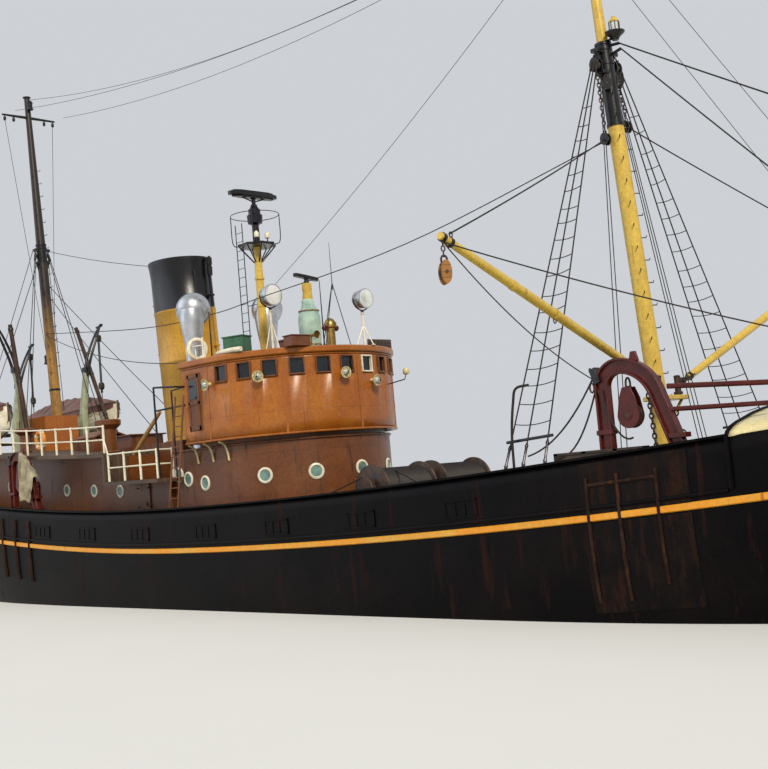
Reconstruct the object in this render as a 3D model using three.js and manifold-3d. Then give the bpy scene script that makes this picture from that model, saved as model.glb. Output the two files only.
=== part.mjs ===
// Steam side trawler as a 1:2 scale model, afloat, with the gear she carries on deck.
// Sizes below are the full-size ship's, in metres: +X to the bow, +Y to port, z = 0 at the water, origin
// amidships.
// The group at the end scales them to the model's millimetres.
import * as THREE from "three";
import { mergeVertices } from "three/addons/utils/BufferGeometryUtils.js";
import Module from "manifold-3d";

const wasm = await Module();
wasm.setup();

// Driving dimensions
const modelScale = 0.5;
const seam = 0.001; // between pieces that touch
const running = 0.02; // between pieces that move
const starboard = -1;
const port = 1;

const ship = {
  halfBeam: 4.575,
  bowX: 27.0,
  sternX: -26.9,
  lowestDeck: 1.97,
  lowestDeckX: -3,
  sheerForward: 0.0019,
  sheerAft: 0.0038,
  bowLift: 0.0006,
  bowLiftX: 16,
  parallelForward: 8,
  parallelAft: -10,
  bulwarkHeight: 1.0,
  bulwarkThick: 0.08,
  mastRake: 0.0621,
};

// Hull stations from the stern to the stem: place, lowest point, and the two exponents of the section's
// curve. High exponents make a full section with a turned bilge, low ones a sharp section with flare.
const hullStations = [
  { x: -26.6, keel: 2.15, foot: 1.6, side: 1.8 },
  { x: -25.9, keel: 1.2, foot: 1.6, side: 1.8 },
  { x: -24.6, keel: 0.15, foot: 1.7, side: 1.8 },
  { x: -23.0, keel: -0.85, foot: 1.7, side: 1.7 },
  { x: -20.5, keel: -1.9, foot: 1.8, side: 1.7 },
  { x: -17.0, keel: -3.1, foot: 2.0, side: 1.8 },
  { x: -13.0, keel: -4.0, foot: 2.4, side: 2.3 },
  { x: -8.5, keel: -4.3, foot: 3.0, side: 3.0 },
  { x: -2.0, keel: -4.1, foot: 3.0, side: 3.0 },
  { x: 4.0, keel: -3.9, foot: 3.0, side: 3.0 },
  { x: 9.0, keel: -3.75, foot: 2.7, side: 2.8 },
  { x: 12.5, keel: -3.6, foot: 2.4, side: 2.4 },
  { x: 15.4, keel: -3.5, foot: 2.0, side: 2.0 },
  { x: 18.0, keel: -3.4, foot: 1.6, side: 1.6 },
  { x: 20.5, keel: -3.3, foot: 1.3, side: 1.2 },
  { x: 22.6, keel: -2.7, foot: 1.15, side: 0.95 },
  { x: 24.4, keel: -0.95, foot: 1.05, side: 0.85 },
  { x: 25.7, keel: 1.7, foot: 1.0, side: 0.85 },
  { x: 26.7, keel: 3.95, foot: 1.0, side: 0.9 },
];
const sectionHeights = [0, 0.05, 0.14, 0.27, 0.42, 0.6, 0.8, 1];

function sheer(x) {
  const rise = x > ship.lowestDeckX ? ship.sheerForward : ship.sheerAft;
  const lift = ship.bowLift * Math.max(0, x - ship.bowLiftX) ** 3;
  return ship.lowestDeck + rise * (x - ship.lowestDeckX) ** 2 + lift;
}

function deckEdge(x) {
  if (x > ship.parallelForward) {
    const t = (x - ship.parallelForward) / (ship.bowX - ship.parallelForward);
    return ship.halfBeam * (1 - t ** 2.6) ** 0.9;
  }
  if (x < ship.parallelAft) {
    const t = (ship.parallelAft - x) / (ship.parallelAft - ship.sternX);
    return ship.halfBeam * (1 - t ** 4) ** 0.5;
  }
  return ship.halfBeam;
}

// The deck runs straight between stations, so whatever stands on it uses these.
function alongStations(x, value) {
  const after = hullStations.findIndex((station) => station.x >= x);
  if (after <= 0) return value(hullStations[after < 0 ? hullStations.length - 1 : 0].x);
  const a = hullStations[after - 1].x;
  const b = hullStations[after].x;
  return THREE.MathUtils.mapLinear(x, a, b, value(a), value(b));
}
const deckAt = (x) => alongStations(x, sheer);
const edgeAt = (x) => alongStations(x, deckEdge);

// Stations between two places, with both ends, from aft forward
function stationsBetween(from, to) {
  const inside = hullStations.map((station) => station.x).filter((x) => x > from + 0.05 && x < to - 0.05);
  return [from, ...inside, to];
}

// Solids
function toSolid(geometry) {
  const bare = geometry.clone();
  bare.deleteAttribute("normal");
  bare.deleteAttribute("uv");
  const merged = mergeVertices(bare, 1e-6);
  const mesh = new wasm.Mesh({
    numProp: 3,
    vertProperties: Float32Array.from(merged.attributes.position.array),
    triVerts: Uint32Array.from(merged.index.array),
  });
  mesh.merge();
  return new wasm.Manifold(mesh);
}

function toGeometry(solid) {
  const mesh = solid.getMesh();
  const geometry = new THREE.BufferGeometry();
  geometry.setAttribute("position", new THREE.BufferAttribute(new Float32Array(mesh.vertProperties), 3));
  geometry.setIndex(new THREE.BufferAttribute(new Uint32Array(mesh.triVerts), 1));
  return geometry;
}

const join = (...pieces) => toGeometry(pieces.map(toSolid).reduce((a, b) => a.add(b)));
const cut = (body, ...tools) => toGeometry(tools.map(toSolid).reduce((a, b) => a.subtract(b), toSolid(body)));

// Rings of points joined into a closed body; each ring runs anticlockwise as seen from the last ring.
function loft(rings) {
  const count = rings[0].length;
  const positions = rings.flat().flatMap((p) => [p.x, p.y, p.z]);
  const index = [];
  for (let r = 0; r + 1 < rings.length; r += 1) {
    for (let k = 0; k < count; k += 1) {
      const a = r * count + k;
      const b = r * count + ((k + 1) % count);
      index.push(a, b, b + count, a, b + count, a + count);
    }
  }
  for (let k = 1; k + 1 < count; k += 1) {
    const last = (rings.length - 1) * count;
    index.push(0, k + 1, k, last, last + k, last + k + 1);
  }
  const geometry = new THREE.BufferGeometry();
  geometry.setAttribute("position", new THREE.Float32BufferAttribute(positions, 3));
  geometry.setIndex(index);
  return geometry;
}

// A level-topped slice across the ship
function slabRing(x, half, low, high) {
  return [
    new THREE.Vector3(x, -half, low),
    new THREE.Vector3(x, half, low),
    new THREE.Vector3(x, half, high),
    new THREE.Vector3(x, -half, high),
  ];
}

// A piece trimmed to stand on the deck, which rises with the sheer
function onDeck(piece, from, to) {
  const below = stationsBetween(from, to).map((x) => slabRing(x, 6, -1, deckAt(x) + seam));
  return cut(piece, loft(below));
}

function box([x0, y0, z0], [x1, y1, z1]) {
  const geometry = new THREE.BoxGeometry(x1 - x0, y1 - y0, z1 - z0);
  return geometry.translate((x0 + x1) / 2, (y0 + y1) / 2, (z0 + z1) / 2);
}

// A straight round bar between two points
function rod(from, to, radius, sides = 8, radiusTo = radius) {
  const a = new THREE.Vector3(...from);
  const b = new THREE.Vector3(...to);
  const geometry = new THREE.CylinderGeometry(radiusTo, radius, a.distanceTo(b), sides);
  const along = b.clone().sub(a).normalize();
  const turn = new THREE.Quaternion().setFromUnitVectors(new THREE.Vector3(0, 1, 0), along);
  const middle = a.add(b).multiplyScalar(0.5);
  return geometry.applyQuaternion(turn).translate(middle.x, middle.y, middle.z);
}

// A round body from its profile of [radius, height], standing on z
function turned(profile, [x, y, z], sides = 16) {
  const geometry = new THREE.LatheGeometry(profile.map((p) => new THREE.Vector2(...p)), sides);
  return geometry.rotateX(Math.PI / 2).translate(x, y, z);
}

// A flat outline in plan, from z = low to z = high
function standing(outline, low, high) {
  const shape = new THREE.Shape(outline.map((p) => new THREE.Vector2(...p)));
  const geometry = new THREE.ExtrudeGeometry(shape, { depth: high - low, bevelEnabled: false });
  return geometry.translate(0, 0, low);
}

// A flat outline in side view, as [x, z], from y = low to y = high
function upright(outline, low, high) {
  const shape = new THREE.Shape(outline.map(([x, z]) => new THREE.Vector2(x, z)));
  const geometry = new THREE.ExtrudeGeometry(shape, { depth: high - low, bevelEnabled: false });
  return geometry.rotateX(Math.PI / 2).translate(0, high, 0);
}

// A bar of the given width along a line of [x, z] points, as an outline
function ribbon(points, width) {
  const sides = [[], []];
  points.forEach(([x, z], k) => {
    const [ax, az] = points[Math.max(k - 1, 0)];
    const [bx, bz] = points[Math.min(k + 1, points.length - 1)];
    const length = Math.hypot(bx - ax, bz - az);
    const nx = (-(bz - az) / length) * (width / 2);
    const nz = ((bx - ax) / length) * (width / 2);
    sides[0].push([x + nx, z + nz]);
    sides[1].unshift([x - nx, z - nz]);
  });
  return [...sides[1], ...sides[0]];
}

function arc([x, z], radius, from, to, steps) {
  return Array.from({ length: steps + 1 }, (_, k) => {
    const a = THREE.MathUtils.degToRad(from + ((to - from) * k) / steps);
    return [x + radius * Math.cos(a), z + radius * Math.sin(a)];
  });
}

// Materials
const paint = (color, roughness = 0.6, metalness = 0) =>
  new THREE.MeshStandardMaterial({ color, roughness, metalness });
const finishes = {
  hull: paint("#17151a"),
  deck: paint("#6d5b45", 0.85),
  house: paint("#a2502a"),
  darkHouse: paint("#6e3626"),
  buff: paint("#c9a13f"),
  black: paint("#1c1b1b"),
  oxide: paint("#6f2420"),
  white: paint("#dcd8c8"),
  canvas: paint("#6a4038", 0.9),
  davit: paint("#8f9b80"),
  aluminium: paint("#b9bcbe", 0.35, 0.9),
  steel: paint("#4d4a48", 0.5, 0.7),
  bronze: paint("#8c6a35", 0.4, 0.9),
  wood: paint("#7a6348", 0.85),
  wire: paint("#2b2826", 0.7, 0.4),
};

const model = new THREE.Group();
function add(name, geometry, finish) {
  const mesh = new THREE.Mesh(geometry, finish);
  mesh.name = name;
  model.add(mesh);
}

// Hull: a round-bilged shell filled solid, with a fin for the keel and stern frame
function hullRing({ x, keel, foot, side }) {
  const height = sheer(x) - keel;
  const half = sectionHeights.map((s) => {
    const breadth = deckEdge(x) * (1 - (1 - s) ** foot) ** (1 / side);
    return [Math.max(breadth, 0.06), keel + s * height];
  });
  const down = half.slice().reverse().map(([y, z]) => new THREE.Vector3(x, -y, z));
  const up = half.map(([y, z]) => new THREE.Vector3(x, y, z));
  return [...down, ...up];
}

const screw = { x: -22.1, z: -2.9, radius: 1.5, hub: 0.26 };
const rudderStock = { x: -23.38, radius: 0.12 };
const keelFin = [
  [20.5, -3.2], [-14, -3.2], [-23.2, -0.75], [-23.2, -4.75], [-24.3, -4.75],
  [-24.3, -5.0], [-23.2, -5.0], [20.5, -3.5],
];
const aperture = { from: -22.75, to: -21.45, low: -4.6, high: -1.3 };
add(
  "hull",
  join(
    loft(hullStations.map(hullRing)),
    cut(
      upright(keelFin.slice().reverse(), -0.15, 0.15),
      box([aperture.from, -1, aperture.low], [aperture.to, 1, aperture.high]),
    ),
    rod([aperture.to - 0.02, 0, screw.z], [-19.5, 0, screw.z], 0.3, 12, 0.5),
  ),
  finishes.hull,
);

// Bulwark from the whaleback round the stern
function outlinePoint(x, side) {
  return { x, y: side * edgeAt(x), deck: deckAt(x) };
}
const whalebackX = 15.4;
const bulwarkRun = stationsBetween(hullStations[0].x, whalebackX - seam);
const bulwarkPath = [
  ...bulwarkRun.slice().reverse().map((x) => outlinePoint(x, starboard)),
  ...bulwarkRun.map((x) => outlinePoint(x, port)),
];
function bulwarkRing(point, k, path) {
  const before = path[Math.max(k - 1, 0)];
  const next = path[Math.min(k + 1, path.length - 1)];
  const length = Math.hypot(next.x - before.x, next.y - before.y);
  const inX = (-(next.y - before.y) / length) * -ship.bulwarkThick;
  const inY = ((next.x - before.x) / length) * -ship.bulwarkThick;
  const low = point.deck + seam;
  const high = point.deck + ship.bulwarkHeight;
  return [
    new THREE.Vector3(point.x, point.y, low),
    new THREE.Vector3(point.x, point.y, high),
    new THREE.Vector3(point.x + inX, point.y + inY, high),
    new THREE.Vector3(point.x + inX, point.y + inY, low),
  ];
}
add("bulwark", loft(bulwarkPath.map(bulwarkRing)), finishes.hull);

// Whaleback: sides and turtle back over the fore deck, open aft
const turtle = [
  { out: 1, up: 0.0 },
  { out: 1, up: 1.0 },
  { out: 0.87, up: 1.28 },
  { out: 0.7, up: 1.45 },
  { out: 0.45, up: 1.62 },
  { out: 0, up: 1.7 },
];
const plate = 0.1;
function whalebackRing(x, inset, drop) {
  const flare = 0.05;
  const half = turtle.map(({ out, up }) => {
    const y = Math.max(out * (edgeAt(x) + (up > 0 ? flare : 0)) - (out > 0 ? inset : 0), 0);
    return [y, deckAt(x) + (up > 0 ? up - inset : seam - drop)];
  });
  const right = half.map(([y, z]) => new THREE.Vector3(x, -y, z));
  const left = half.slice(0, -1).reverse().map(([y, z]) => new THREE.Vector3(x, y, z));
  return [...right, ...left];
}
const foreRun = stationsBetween(whalebackX, hullStations.at(-1).x);
const innerRun = [whalebackX - 0.5, ...stationsBetween(whalebackX, 25.4).slice(1)];
const outerShell = loft(foreRun.slice().reverse().map((x) => whalebackRing(x, 0, 0)));
const innerSpace = loft(innerRun.slice().reverse().map((x) => whalebackRing(x, plate, 0.4)));
const stemHead = rod([26.55, 0, 4.7], [27.1, 0, 6.4], 0.16, 8);
add("whaleback", join(cut(outerShell, innerSpace), stemHead), finishes.hull);

// After casing, with the raised boiler casing, and the boat deck over it
const lowDeck = { from: -7.85, to: -4.75, over: 1.93 };
const highDeck = { from: -25.2, to: -7.85, over: 2.88, levelFrom: -17 };
const house = {
  half: 2.95, backX: -5.35, centreX: -2.6, top: 4.75, upperBackX: -3.8, upperCentreX: -2.8, upperTop: 5.15,
};
const deckPlate = 0.12;
const casing = { half: 3.1, from: -22.4, inset: 1.0 };
const boilerCasing = { from: -11.2, to: -6.3, half: 1.9, top: 5.2 };
const galley = { from: -20.0, to: -17.75, half: 0.75, top: 7.05 };

const boatDeckHalf = (x) => Math.min(4.0, edgeAt(x) - 0.25);
const stepX = lowDeck.from;
const stepPlate = 0.1;
// The boat deck follows the deck below it, and runs level over the after part
const lowDeckAt = (x) => deckAt(x) + lowDeck.over;
const highDeckAt = (x) => deckAt(Math.max(x, highDeck.levelFrom)) + highDeck.over;
const boatDeckAt = (x) => (x > stepX ? lowDeckAt(x) : highDeckAt(x));
function deckSlab({ from, to }, topAt) {
  const ring = (x) => slabRing(x, boatDeckHalf(x), topAt(x) - deckPlate, topAt(x));
  return loft(stationsBetween(from, to).map(ring));
}
function casingBlock(from, to, topAt) {
  const half = (x) => Math.min(casing.half, edgeAt(x) - casing.inset);
  const ring = (x) => slabRing(x, half(x), deckAt(x) + seam, topAt(x) - deckPlate - seam);
  return loft(stationsBetween(from, to).map(ring));
}
const casingStep = stepX + deckPlate;
add(
  "casing",
  join(
    casingBlock(casingStep, house.backX - seam, lowDeckAt),
    casingBlock(casing.from, casingStep, highDeckAt),
    box([boilerCasing.from, -boilerCasing.half, 2.5], [boilerCasing.to, boilerCasing.half, boilerCasing.top]),
  ),
  finishes.darkHouse,
);
add(
  "boat_deck",
  cut(
    join(
      deckSlab(lowDeck, lowDeckAt),
      deckSlab(highDeck, highDeckAt),
      box(
        [stepX - stepPlate, -boatDeckHalf(stepX), lowDeckAt(stepX) - deckPlate],
        [stepX, boatDeckHalf(stepX), highDeckAt(stepX)],
      ),
    ),
    box(
      [boilerCasing.from - seam, -boilerCasing.half - seam, 2],
      [boilerCasing.to + seam, boilerCasing.half + seam, 7],
    ),
    box(
      [stepX - 2 * stepPlate, -casing.half - seam, 2.5],
      [casingStep + seam, casing.half + seam, highDeckAt(stepX - stepPlate) - deckPlate],
    ),
    box([house.backX - seam, -house.half - seam, 2], [lowDeck.to + 1, house.half + seam, 7]),
  ),
  finishes.deck,
);
// A piece trimmed to stand on the boat deck
function onBoatDeck(piece, from, to) {
  return cut(piece, loft(stationsBetween(from, to).map((x) => slabRing(x, 6, -1, boatDeckAt(x) + seam))));
}
add(
  "galley_house",
  onBoatDeck(
    box([galley.from, -galley.half, 5], [galley.to, galley.half, galley.top]),
    galley.from - 1,
    galley.to + 1,
  ),
  finishes.house,
);

// Wheelhouse on its bridge house: straight sides and a round front
const bridge = {
  centreX: -2.8, backX: -3.95, radius: 3.34, wall: 0.12, skirt: 4.9, floor: 5.27, head: 7.27, roof: 7.47,
};
function roundFront(radius, backX) {
  return [[backX, radius], [backX, -radius], ...arc([bridge.centreX, 0], radius, -90, 90, 32)];
}
function houseOutline(backX, centreX) {
  return [[backX, house.half], [backX, -house.half], ...arc([centreX, 0], house.half, -90, 90, 24)];
}
add(
  "bridge_house",
  onDeck(
    join(
      standing(houseOutline(house.backX, house.centreX), 1, house.top),
      standing(houseOutline(house.upperBackX, house.upperCentreX), house.top - 0.05, house.upperTop),
    ),
    house.backX - 0.5,
    1,
  ),
  finishes.darkHouse,
);
add(
  "wheelhouse_floor",
  standing(
    roundFront(bridge.radius - bridge.wall - seam, bridge.backX + bridge.wall + seam),
    house.upperTop + seam,
    bridge.floor,
  ),
  finishes.deck,
);
const doorway = { from: -3.72, to: -3.02, low: 5.3, high: 7.05 };
const windows = { count: 12, width: 0.42, low: 6.68, top: 7.14, pitch: 13.91 };
function windowCutter(_, k) {
  const inner = bridge.radius - 0.4;
  const outer = bridge.radius + 0.4;
  const tool = box([inner, -windows.width / 2, windows.low], [outer, windows.width / 2, windows.top]);
  const turn = (k - (windows.count - 1) / 2) * windows.pitch;
  return tool.rotateZ(THREE.MathUtils.degToRad(turn)).translate(bridge.centreX, 0, 0);
}
add(
  "wheelhouse_wall",
  cut(
    standing(roundFront(bridge.radius, bridge.backX), bridge.skirt, bridge.head),
    standing(
      roundFront(bridge.radius - bridge.wall, bridge.backX + bridge.wall),
      bridge.skirt - 1,
      bridge.head + 1,
    ),
    box([doorway.from, -4, doorway.low], [doorway.to, 4, doorway.high]),
    ...Array.from({ length: windows.count }, windowCutter),
  ),
  finishes.house,
);
const eaves = 0.1;
add(
  "wheelhouse_roof",
  standing(roundFront(bridge.radius + eaves, bridge.backX - eaves), bridge.head + seam, bridge.roof),
  finishes.house,
);
for (const [side, word] of [[starboard, "starboard"], [port, "port"]]) {
  const outer = side * (bridge.radius + 0.005);
  const inner = side * (bridge.radius - 0.055);
  add(
    `wheelhouse_door_${word}`,
    box(
      [doorway.from + running / 2, Math.min(outer, inner), doorway.low + running / 2],
      [doorway.to - running / 2, Math.max(outer, inner), doorway.high - running / 2],
    ),
    finishes.wood,
  );
}

// Funnel: a raked oval with an open top
const stack = { x: -8.47, top: 11.7, foot: boilerCasing.top + seam, long: 1.24, wide: 1.0, rake: 0.06 };
function oval(z, grow, sides = 28) {
  const x = stack.x + (stack.top - z) * stack.rake;
  return Array.from({ length: sides }, (_, k) => {
    const a = (2 * Math.PI * k) / sides;
    return new THREE.Vector3(x + (stack.long + grow) * Math.cos(a), (stack.wide + grow) * Math.sin(a), z);
  });
}
add(
  "funnel",
  cut(
    loft([
      oval(stack.foot, 0.06),
      oval(stack.top - 0.55, 0),
      oval(stack.top - 0.12, 0.05),
      oval(stack.top, 0.05),
    ]),
    loft([oval(stack.top - 1.2, -0.12), oval(stack.top + 0.3, -0.05)]),
  ),
  finishes.buff,
);

// Engine skylight with two flaps
const skylight = { from: -15.6, to: -14.0, half: 0.75, height: 0.35, ridge: 0.28 };
const skyBase = boatDeckAt(skylight.from);
const skyEave = skyBase + skylight.height;
const flapSlope = Math.atan2(skylight.ridge, skylight.half);
const skyWellHalf = (skylight.half - 0.14) / 2;
const skyWellY = 0.06 + skyWellHalf;
const skyWell = box(
  [skylight.from + 0.08, -skyWellHalf, skyBase + 0.1],
  [skylight.to - 0.08, skyWellHalf, skyEave + 1],
);
add(
  "skylight",
  cut(
    onBoatDeck(
      join(
        box([skylight.from, -skylight.half, skyBase - 0.4], [skylight.to, skylight.half, skyEave]),
        box([skylight.from, -0.04, skyBase + 0.1], [skylight.to, 0.04, skyEave + skylight.ridge]),
      ),
      skylight.from - 1,
      skylight.to + 1,
    ),
    ...[starboard, port].map((side) => skyWell.clone().translate(0, side * skyWellY, 0)),
  ),
  finishes.wood,
);
for (const [side, word] of [[starboard, "starboard"], [port, "port"]]) {
  const length = Math.hypot(skylight.half, skylight.ridge) - 0.02;
  const flap = box([skylight.from - 0.03, 0.05, 0.02], [skylight.to + 0.03, length + 0.06, 0.08]);
  if (side === starboard) flap.rotateZ(Math.PI).translate(skylight.from + skylight.to, 0, 0);
  flap.rotateX(-side * flapSlope).translate(0, 0, skyEave + skylight.ridge);
  add(`skylight_flap_${word}`, flap, finishes.wood);
}

// Masts and booms
const foremast = {
  x: 11.206, base: 3, heel: 1.5, head: 13.6, top: 18, hounds: 13.36, houndsOut: 0.42,
  thick: 0.22, neck: 0.195, topmast: 0.145, thin: 0.09,
};
const mizzen = {
  x: -17.813, base: 3, heel: 6, head: 14.3, top: 20.83, hounds: 14.05, houndsOut: 0.34,
  thick: 0.22, neck: 0.205, topmast: 0.19, thin: 0.11,
};
const houndsPlate = { half: 0.12, thick: 0.12 };
const mastX = (mast, z) => mast.x - (z - mast.base) * ship.mastRake;
function pole(mast) {
  const { heel, head, top, hounds, houndsOut, thick, neck, topmast, thin } = mast;
  const overlap = 0.3;
  const { half, thick: plateThick } = houndsPlate;
  return join(
    rod([mastX(mast, heel), 0, heel], [mastX(mast, head), 0, head], thick, 16, neck),
    rod([mastX(mast, head - overlap), 0, head - overlap], [mastX(mast, top), 0, top], topmast, 14, thin),
    box(
      [mastX(mast, hounds) - half, -houndsOut, hounds],
      [mastX(mast, hounds) + half, houndsOut, hounds + plateThick],
    ),
  );
}
const boomTable = { z: 4.75, thick: 0.12, in: 11.0, out: 11.65, half: 0.6 };
const mastLamp = { x: 10.93, z: 13.8, high: 14.17, radius: 0.13, shelf: 0.24 };
add(
  "foremast",
  join(
    onDeck(pole(foremast), 10, 13),
    box(
      [boomTable.in, -boomTable.half, boomTable.z - boomTable.thick],
      [boomTable.out, boomTable.half, boomTable.z],
    ),
    rod([mastX(foremast, mastLamp.z), 0, mastLamp.z - 0.15], [mastLamp.x, 0, mastLamp.z + 0.02], 0.05),
    rod([mastLamp.x, 0, mastLamp.z], [mastLamp.x, 0, mastLamp.z + 0.05], mastLamp.shelf, 12),
    rod([mastLamp.x, 0, mastLamp.z + 0.04], [mastLamp.x, 0, mastLamp.high], mastLamp.radius, 12),
  ),
  finishes.buff,
);
const crosstree = { z: 19.9, half: 1.2, radius: 0.06 };
add(
  "mizzen",
  join(
    cut(pole(mizzen), box([-20, -2, 4], [-14, 2, galley.top + seam])),
    rod(
      [mastX(mizzen, crosstree.z), -crosstree.half, crosstree.z],
      [mastX(mizzen, crosstree.z), crosstree.half, crosstree.z],
      crosstree.radius,
    ),
  ),
  finishes.buff,
);

// Each boom: goosenecks turn about an upright pin, and the boom tops about a level one
const booms = [
  { word: "starboard", heel: [11.416, -0.4], swing: -82.77, lift: 18.56, length: 8.67 },
  { word: "port", heel: [11.416, 0.4], swing: 82.77, lift: 24.59, length: 8.67 },
];
const knuckleZ = 5.078;
const boomRadius = { heel: 0.085, middle: 0.105, tip: 0.075 };
for (const { word, heel, swing, lift, length } of booms) {
  const turn = THREE.MathUtils.degToRad(swing);
  const place = (geometry) => geometry.rotateZ(turn).translate(heel[0], heel[1], knuckleZ);
  add(
    `gooseneck_${word}`,
    place(
      join(
        rod([0, 0, boomTable.z + running / 2 - knuckleZ], [0, 0, 0.12], 0.075, 12),
        box([0, -0.03, -0.1], [0.3, 0.03, 0.1]),
      ),
    ),
    finishes.steel,
  );
  const boom = join(
    rod([0.42, 0, 0], [length * 0.45, 0, 0], boomRadius.heel, 12, boomRadius.middle),
    rod([length * 0.45, 0, 0], [length, 0, 0], boomRadius.middle, 12, boomRadius.tip),
    box([0.2, 0.045, -0.08], [0.6, 0.09, 0.08]),
    box([0.2, -0.09, -0.08], [0.6, -0.045, 0.08]),
  ).translate(-0.2, 0, 0).rotateY(-THREE.MathUtils.degToRad(lift)).translate(0.2, 0, 0);
  add(`boom_${word}`, place(boom), finishes.buff);
}

// Gallows on the starboard side: an arch with an upright after leg and a leaning forward leg, and its
// hanging block
const gallows = {
  bar: 0.33, depth: 0.13, spring: 2.42, shoulder: 0.42, crown: 0.95, turnTo: 20, foot: 2.06, block: 0.64,
};
const gallowsPlaces = [
  { word: "fore", x: 12.48, y: -4.05 },
  { word: "aft", x: -13.9, y: -4.2 },
];
for (const { word, x, y } of gallowsPlaces) {
  const deck = deckAt(x);
  const spring = deck + gallows.spring;
  const turnX = x + gallows.shoulder;
  const crownZ = spring + gallows.shoulder - gallows.crown;
  const line = [
    [x, deck - 0.3],
    ...arc([turnX, spring], gallows.shoulder, 180, 90, 4),
    ...arc([turnX, crownZ], gallows.crown, 90, gallows.turnTo, 5).slice(1),
    [x + gallows.foot, deck],
    [x + gallows.foot + 0.1, deck - 0.3],
  ];
  const middle = x + gallows.block;
  add(
    `gallows_${word}`,
    onDeck(upright(ribbon(line, gallows.bar), y - gallows.depth / 2, y + gallows.depth / 2), x - 1, x + 4),
    finishes.oxide,
  );
  const shackle = 0.06;
  const under = gallows.crown - gallows.bar / 2;
  const hang = crownZ + Math.sqrt(under ** 2 - (middle + shackle - turnX) ** 2) - running;
  add(
    `gallows_block_${word}`,
    join(
      box([middle - shackle, y - 0.025, hang - 0.3], [middle + shackle, y + 0.025, hang]),
      upright(
        [
          [middle - 0.1, hang - 0.22], [middle - 0.22, hang - 0.5],
          ...arc([middle, hang - 0.8], 0.27, 180, 360, 8),
          [middle + 0.22, hang - 0.5], [middle + 0.1, hang - 0.22],
        ],
        y - 0.1,
        y + 0.1,
      ),
    ),
    finishes.oxide,
  );
}

// Otter boards inside the bulwark
const board = { length: 2.4, height: 1.08, thick: 0.1 };
for (const { word, x } of [{ word: "fore", x: 11.2 }, { word: "aft", x: -15.4 }]) {
  const end = x + board.length;
  const low = deckAt(x) - 0.2;
  const outer = -(Math.min(edgeAt(x), edgeAt(end)) - ship.bulwarkThick - 0.02);
  const plank = box([x, outer, low], [end, outer + board.thick, deckAt(end) + board.height]);
  add(`otter_board_${word}`, onDeck(plank, x - 1, end + 1), finishes.wood);
}

// Trawl winch before the bridge, with two drums on one line
const winch = { x: 3.0, z: 3.05, half: 2.3 };
const winchDeck = Math.max(deckAt(2.1), deckAt(3.9)) + seam;
const cheekOutline = [[2.3, winchDeck], [3.7, winchDeck], [3.25, winch.z + 0.35], [2.75, winch.z + 0.35]];
const cheek = (y) => upright(cheekOutline, y - 0.08, y + 0.08);
add(
  "winch_bed",
  join(
    box([2.1, -winch.half - 0.1, winchDeck], [3.9, winch.half + 0.1, winchDeck + 0.16]),
    ...[-winch.half, 0, winch.half].map(cheek),
  ),
  finishes.steel,
);
const drumProfile = [
  [0, -0.95], [0.72, -0.95], [0.72, -0.87], [0.42, -0.87],
  [0.42, 0.87], [0.72, 0.87], [0.72, 0.95], [0, 0.95],
];
for (const [side, word] of [[starboard, "starboard"], [port, "port"]]) {
  const drum = new THREE.LatheGeometry(
    drumProfile.map((p) => new THREE.Vector2(...p)),
    20,
  );
  add(`winch_drum_${word}`, drum.translate(winch.x, side * 1.15, winch.z), finishes.steel);
}

// Windlass on the whaleback
const windlassX = 20.6;
const windlassZ = deckAt(windlassX) + turtle.at(-1).up;
add(
  "windlass_bed",
  cut(
    join(
      box([windlassX - 0.5, -1.0, windlassZ - 0.3], [windlassX + 0.5, 1.0, windlassZ + 0.16]),
      ...[-0.8, 0.8].map((y) =>
        box([windlassX - 0.3, y - 0.08, windlassZ], [windlassX + 0.3, y + 0.08, windlassZ + 0.85]),
      ),
    ),
    outerShell.clone().translate(0, 0, seam),
  ),
  finishes.steel,
);
add(
  "windlass_barrel",
  rod([windlassX, -0.7, windlassZ + 0.55], [windlassX, 0.7, windlassZ + 0.55], 0.28, 16),
  finishes.steel,
);

// Fish hatch with its lid
const hatch = { from: 6.2, to: 7.7, half: 0.8, height: 0.55 };
const hatchDeck = deckAt(hatch.to);
add(
  "hatch_coaming",
  cut(
    onDeck(
      box([hatch.from, -hatch.half, hatchDeck - 0.3], [hatch.to, hatch.half, hatchDeck + hatch.height]),
      hatch.from - 1,
      hatch.to + 1,
    ),
    box([hatch.from + 0.08, 0.08 - hatch.half, hatchDeck + 0.05], [hatch.to - 0.08, hatch.half - 0.08, 5]),
  ),
  finishes.house,
);
const lidZ = hatchDeck + hatch.height + seam;
const lidEdge = 0.06;
const lidHalf = hatch.half + lidEdge;
add(
  "hatch_lid",
  box([hatch.from - lidEdge, -lidHalf, lidZ], [hatch.to + lidEdge, lidHalf, lidZ + 0.1]),
  finishes.wood,
);

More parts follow.
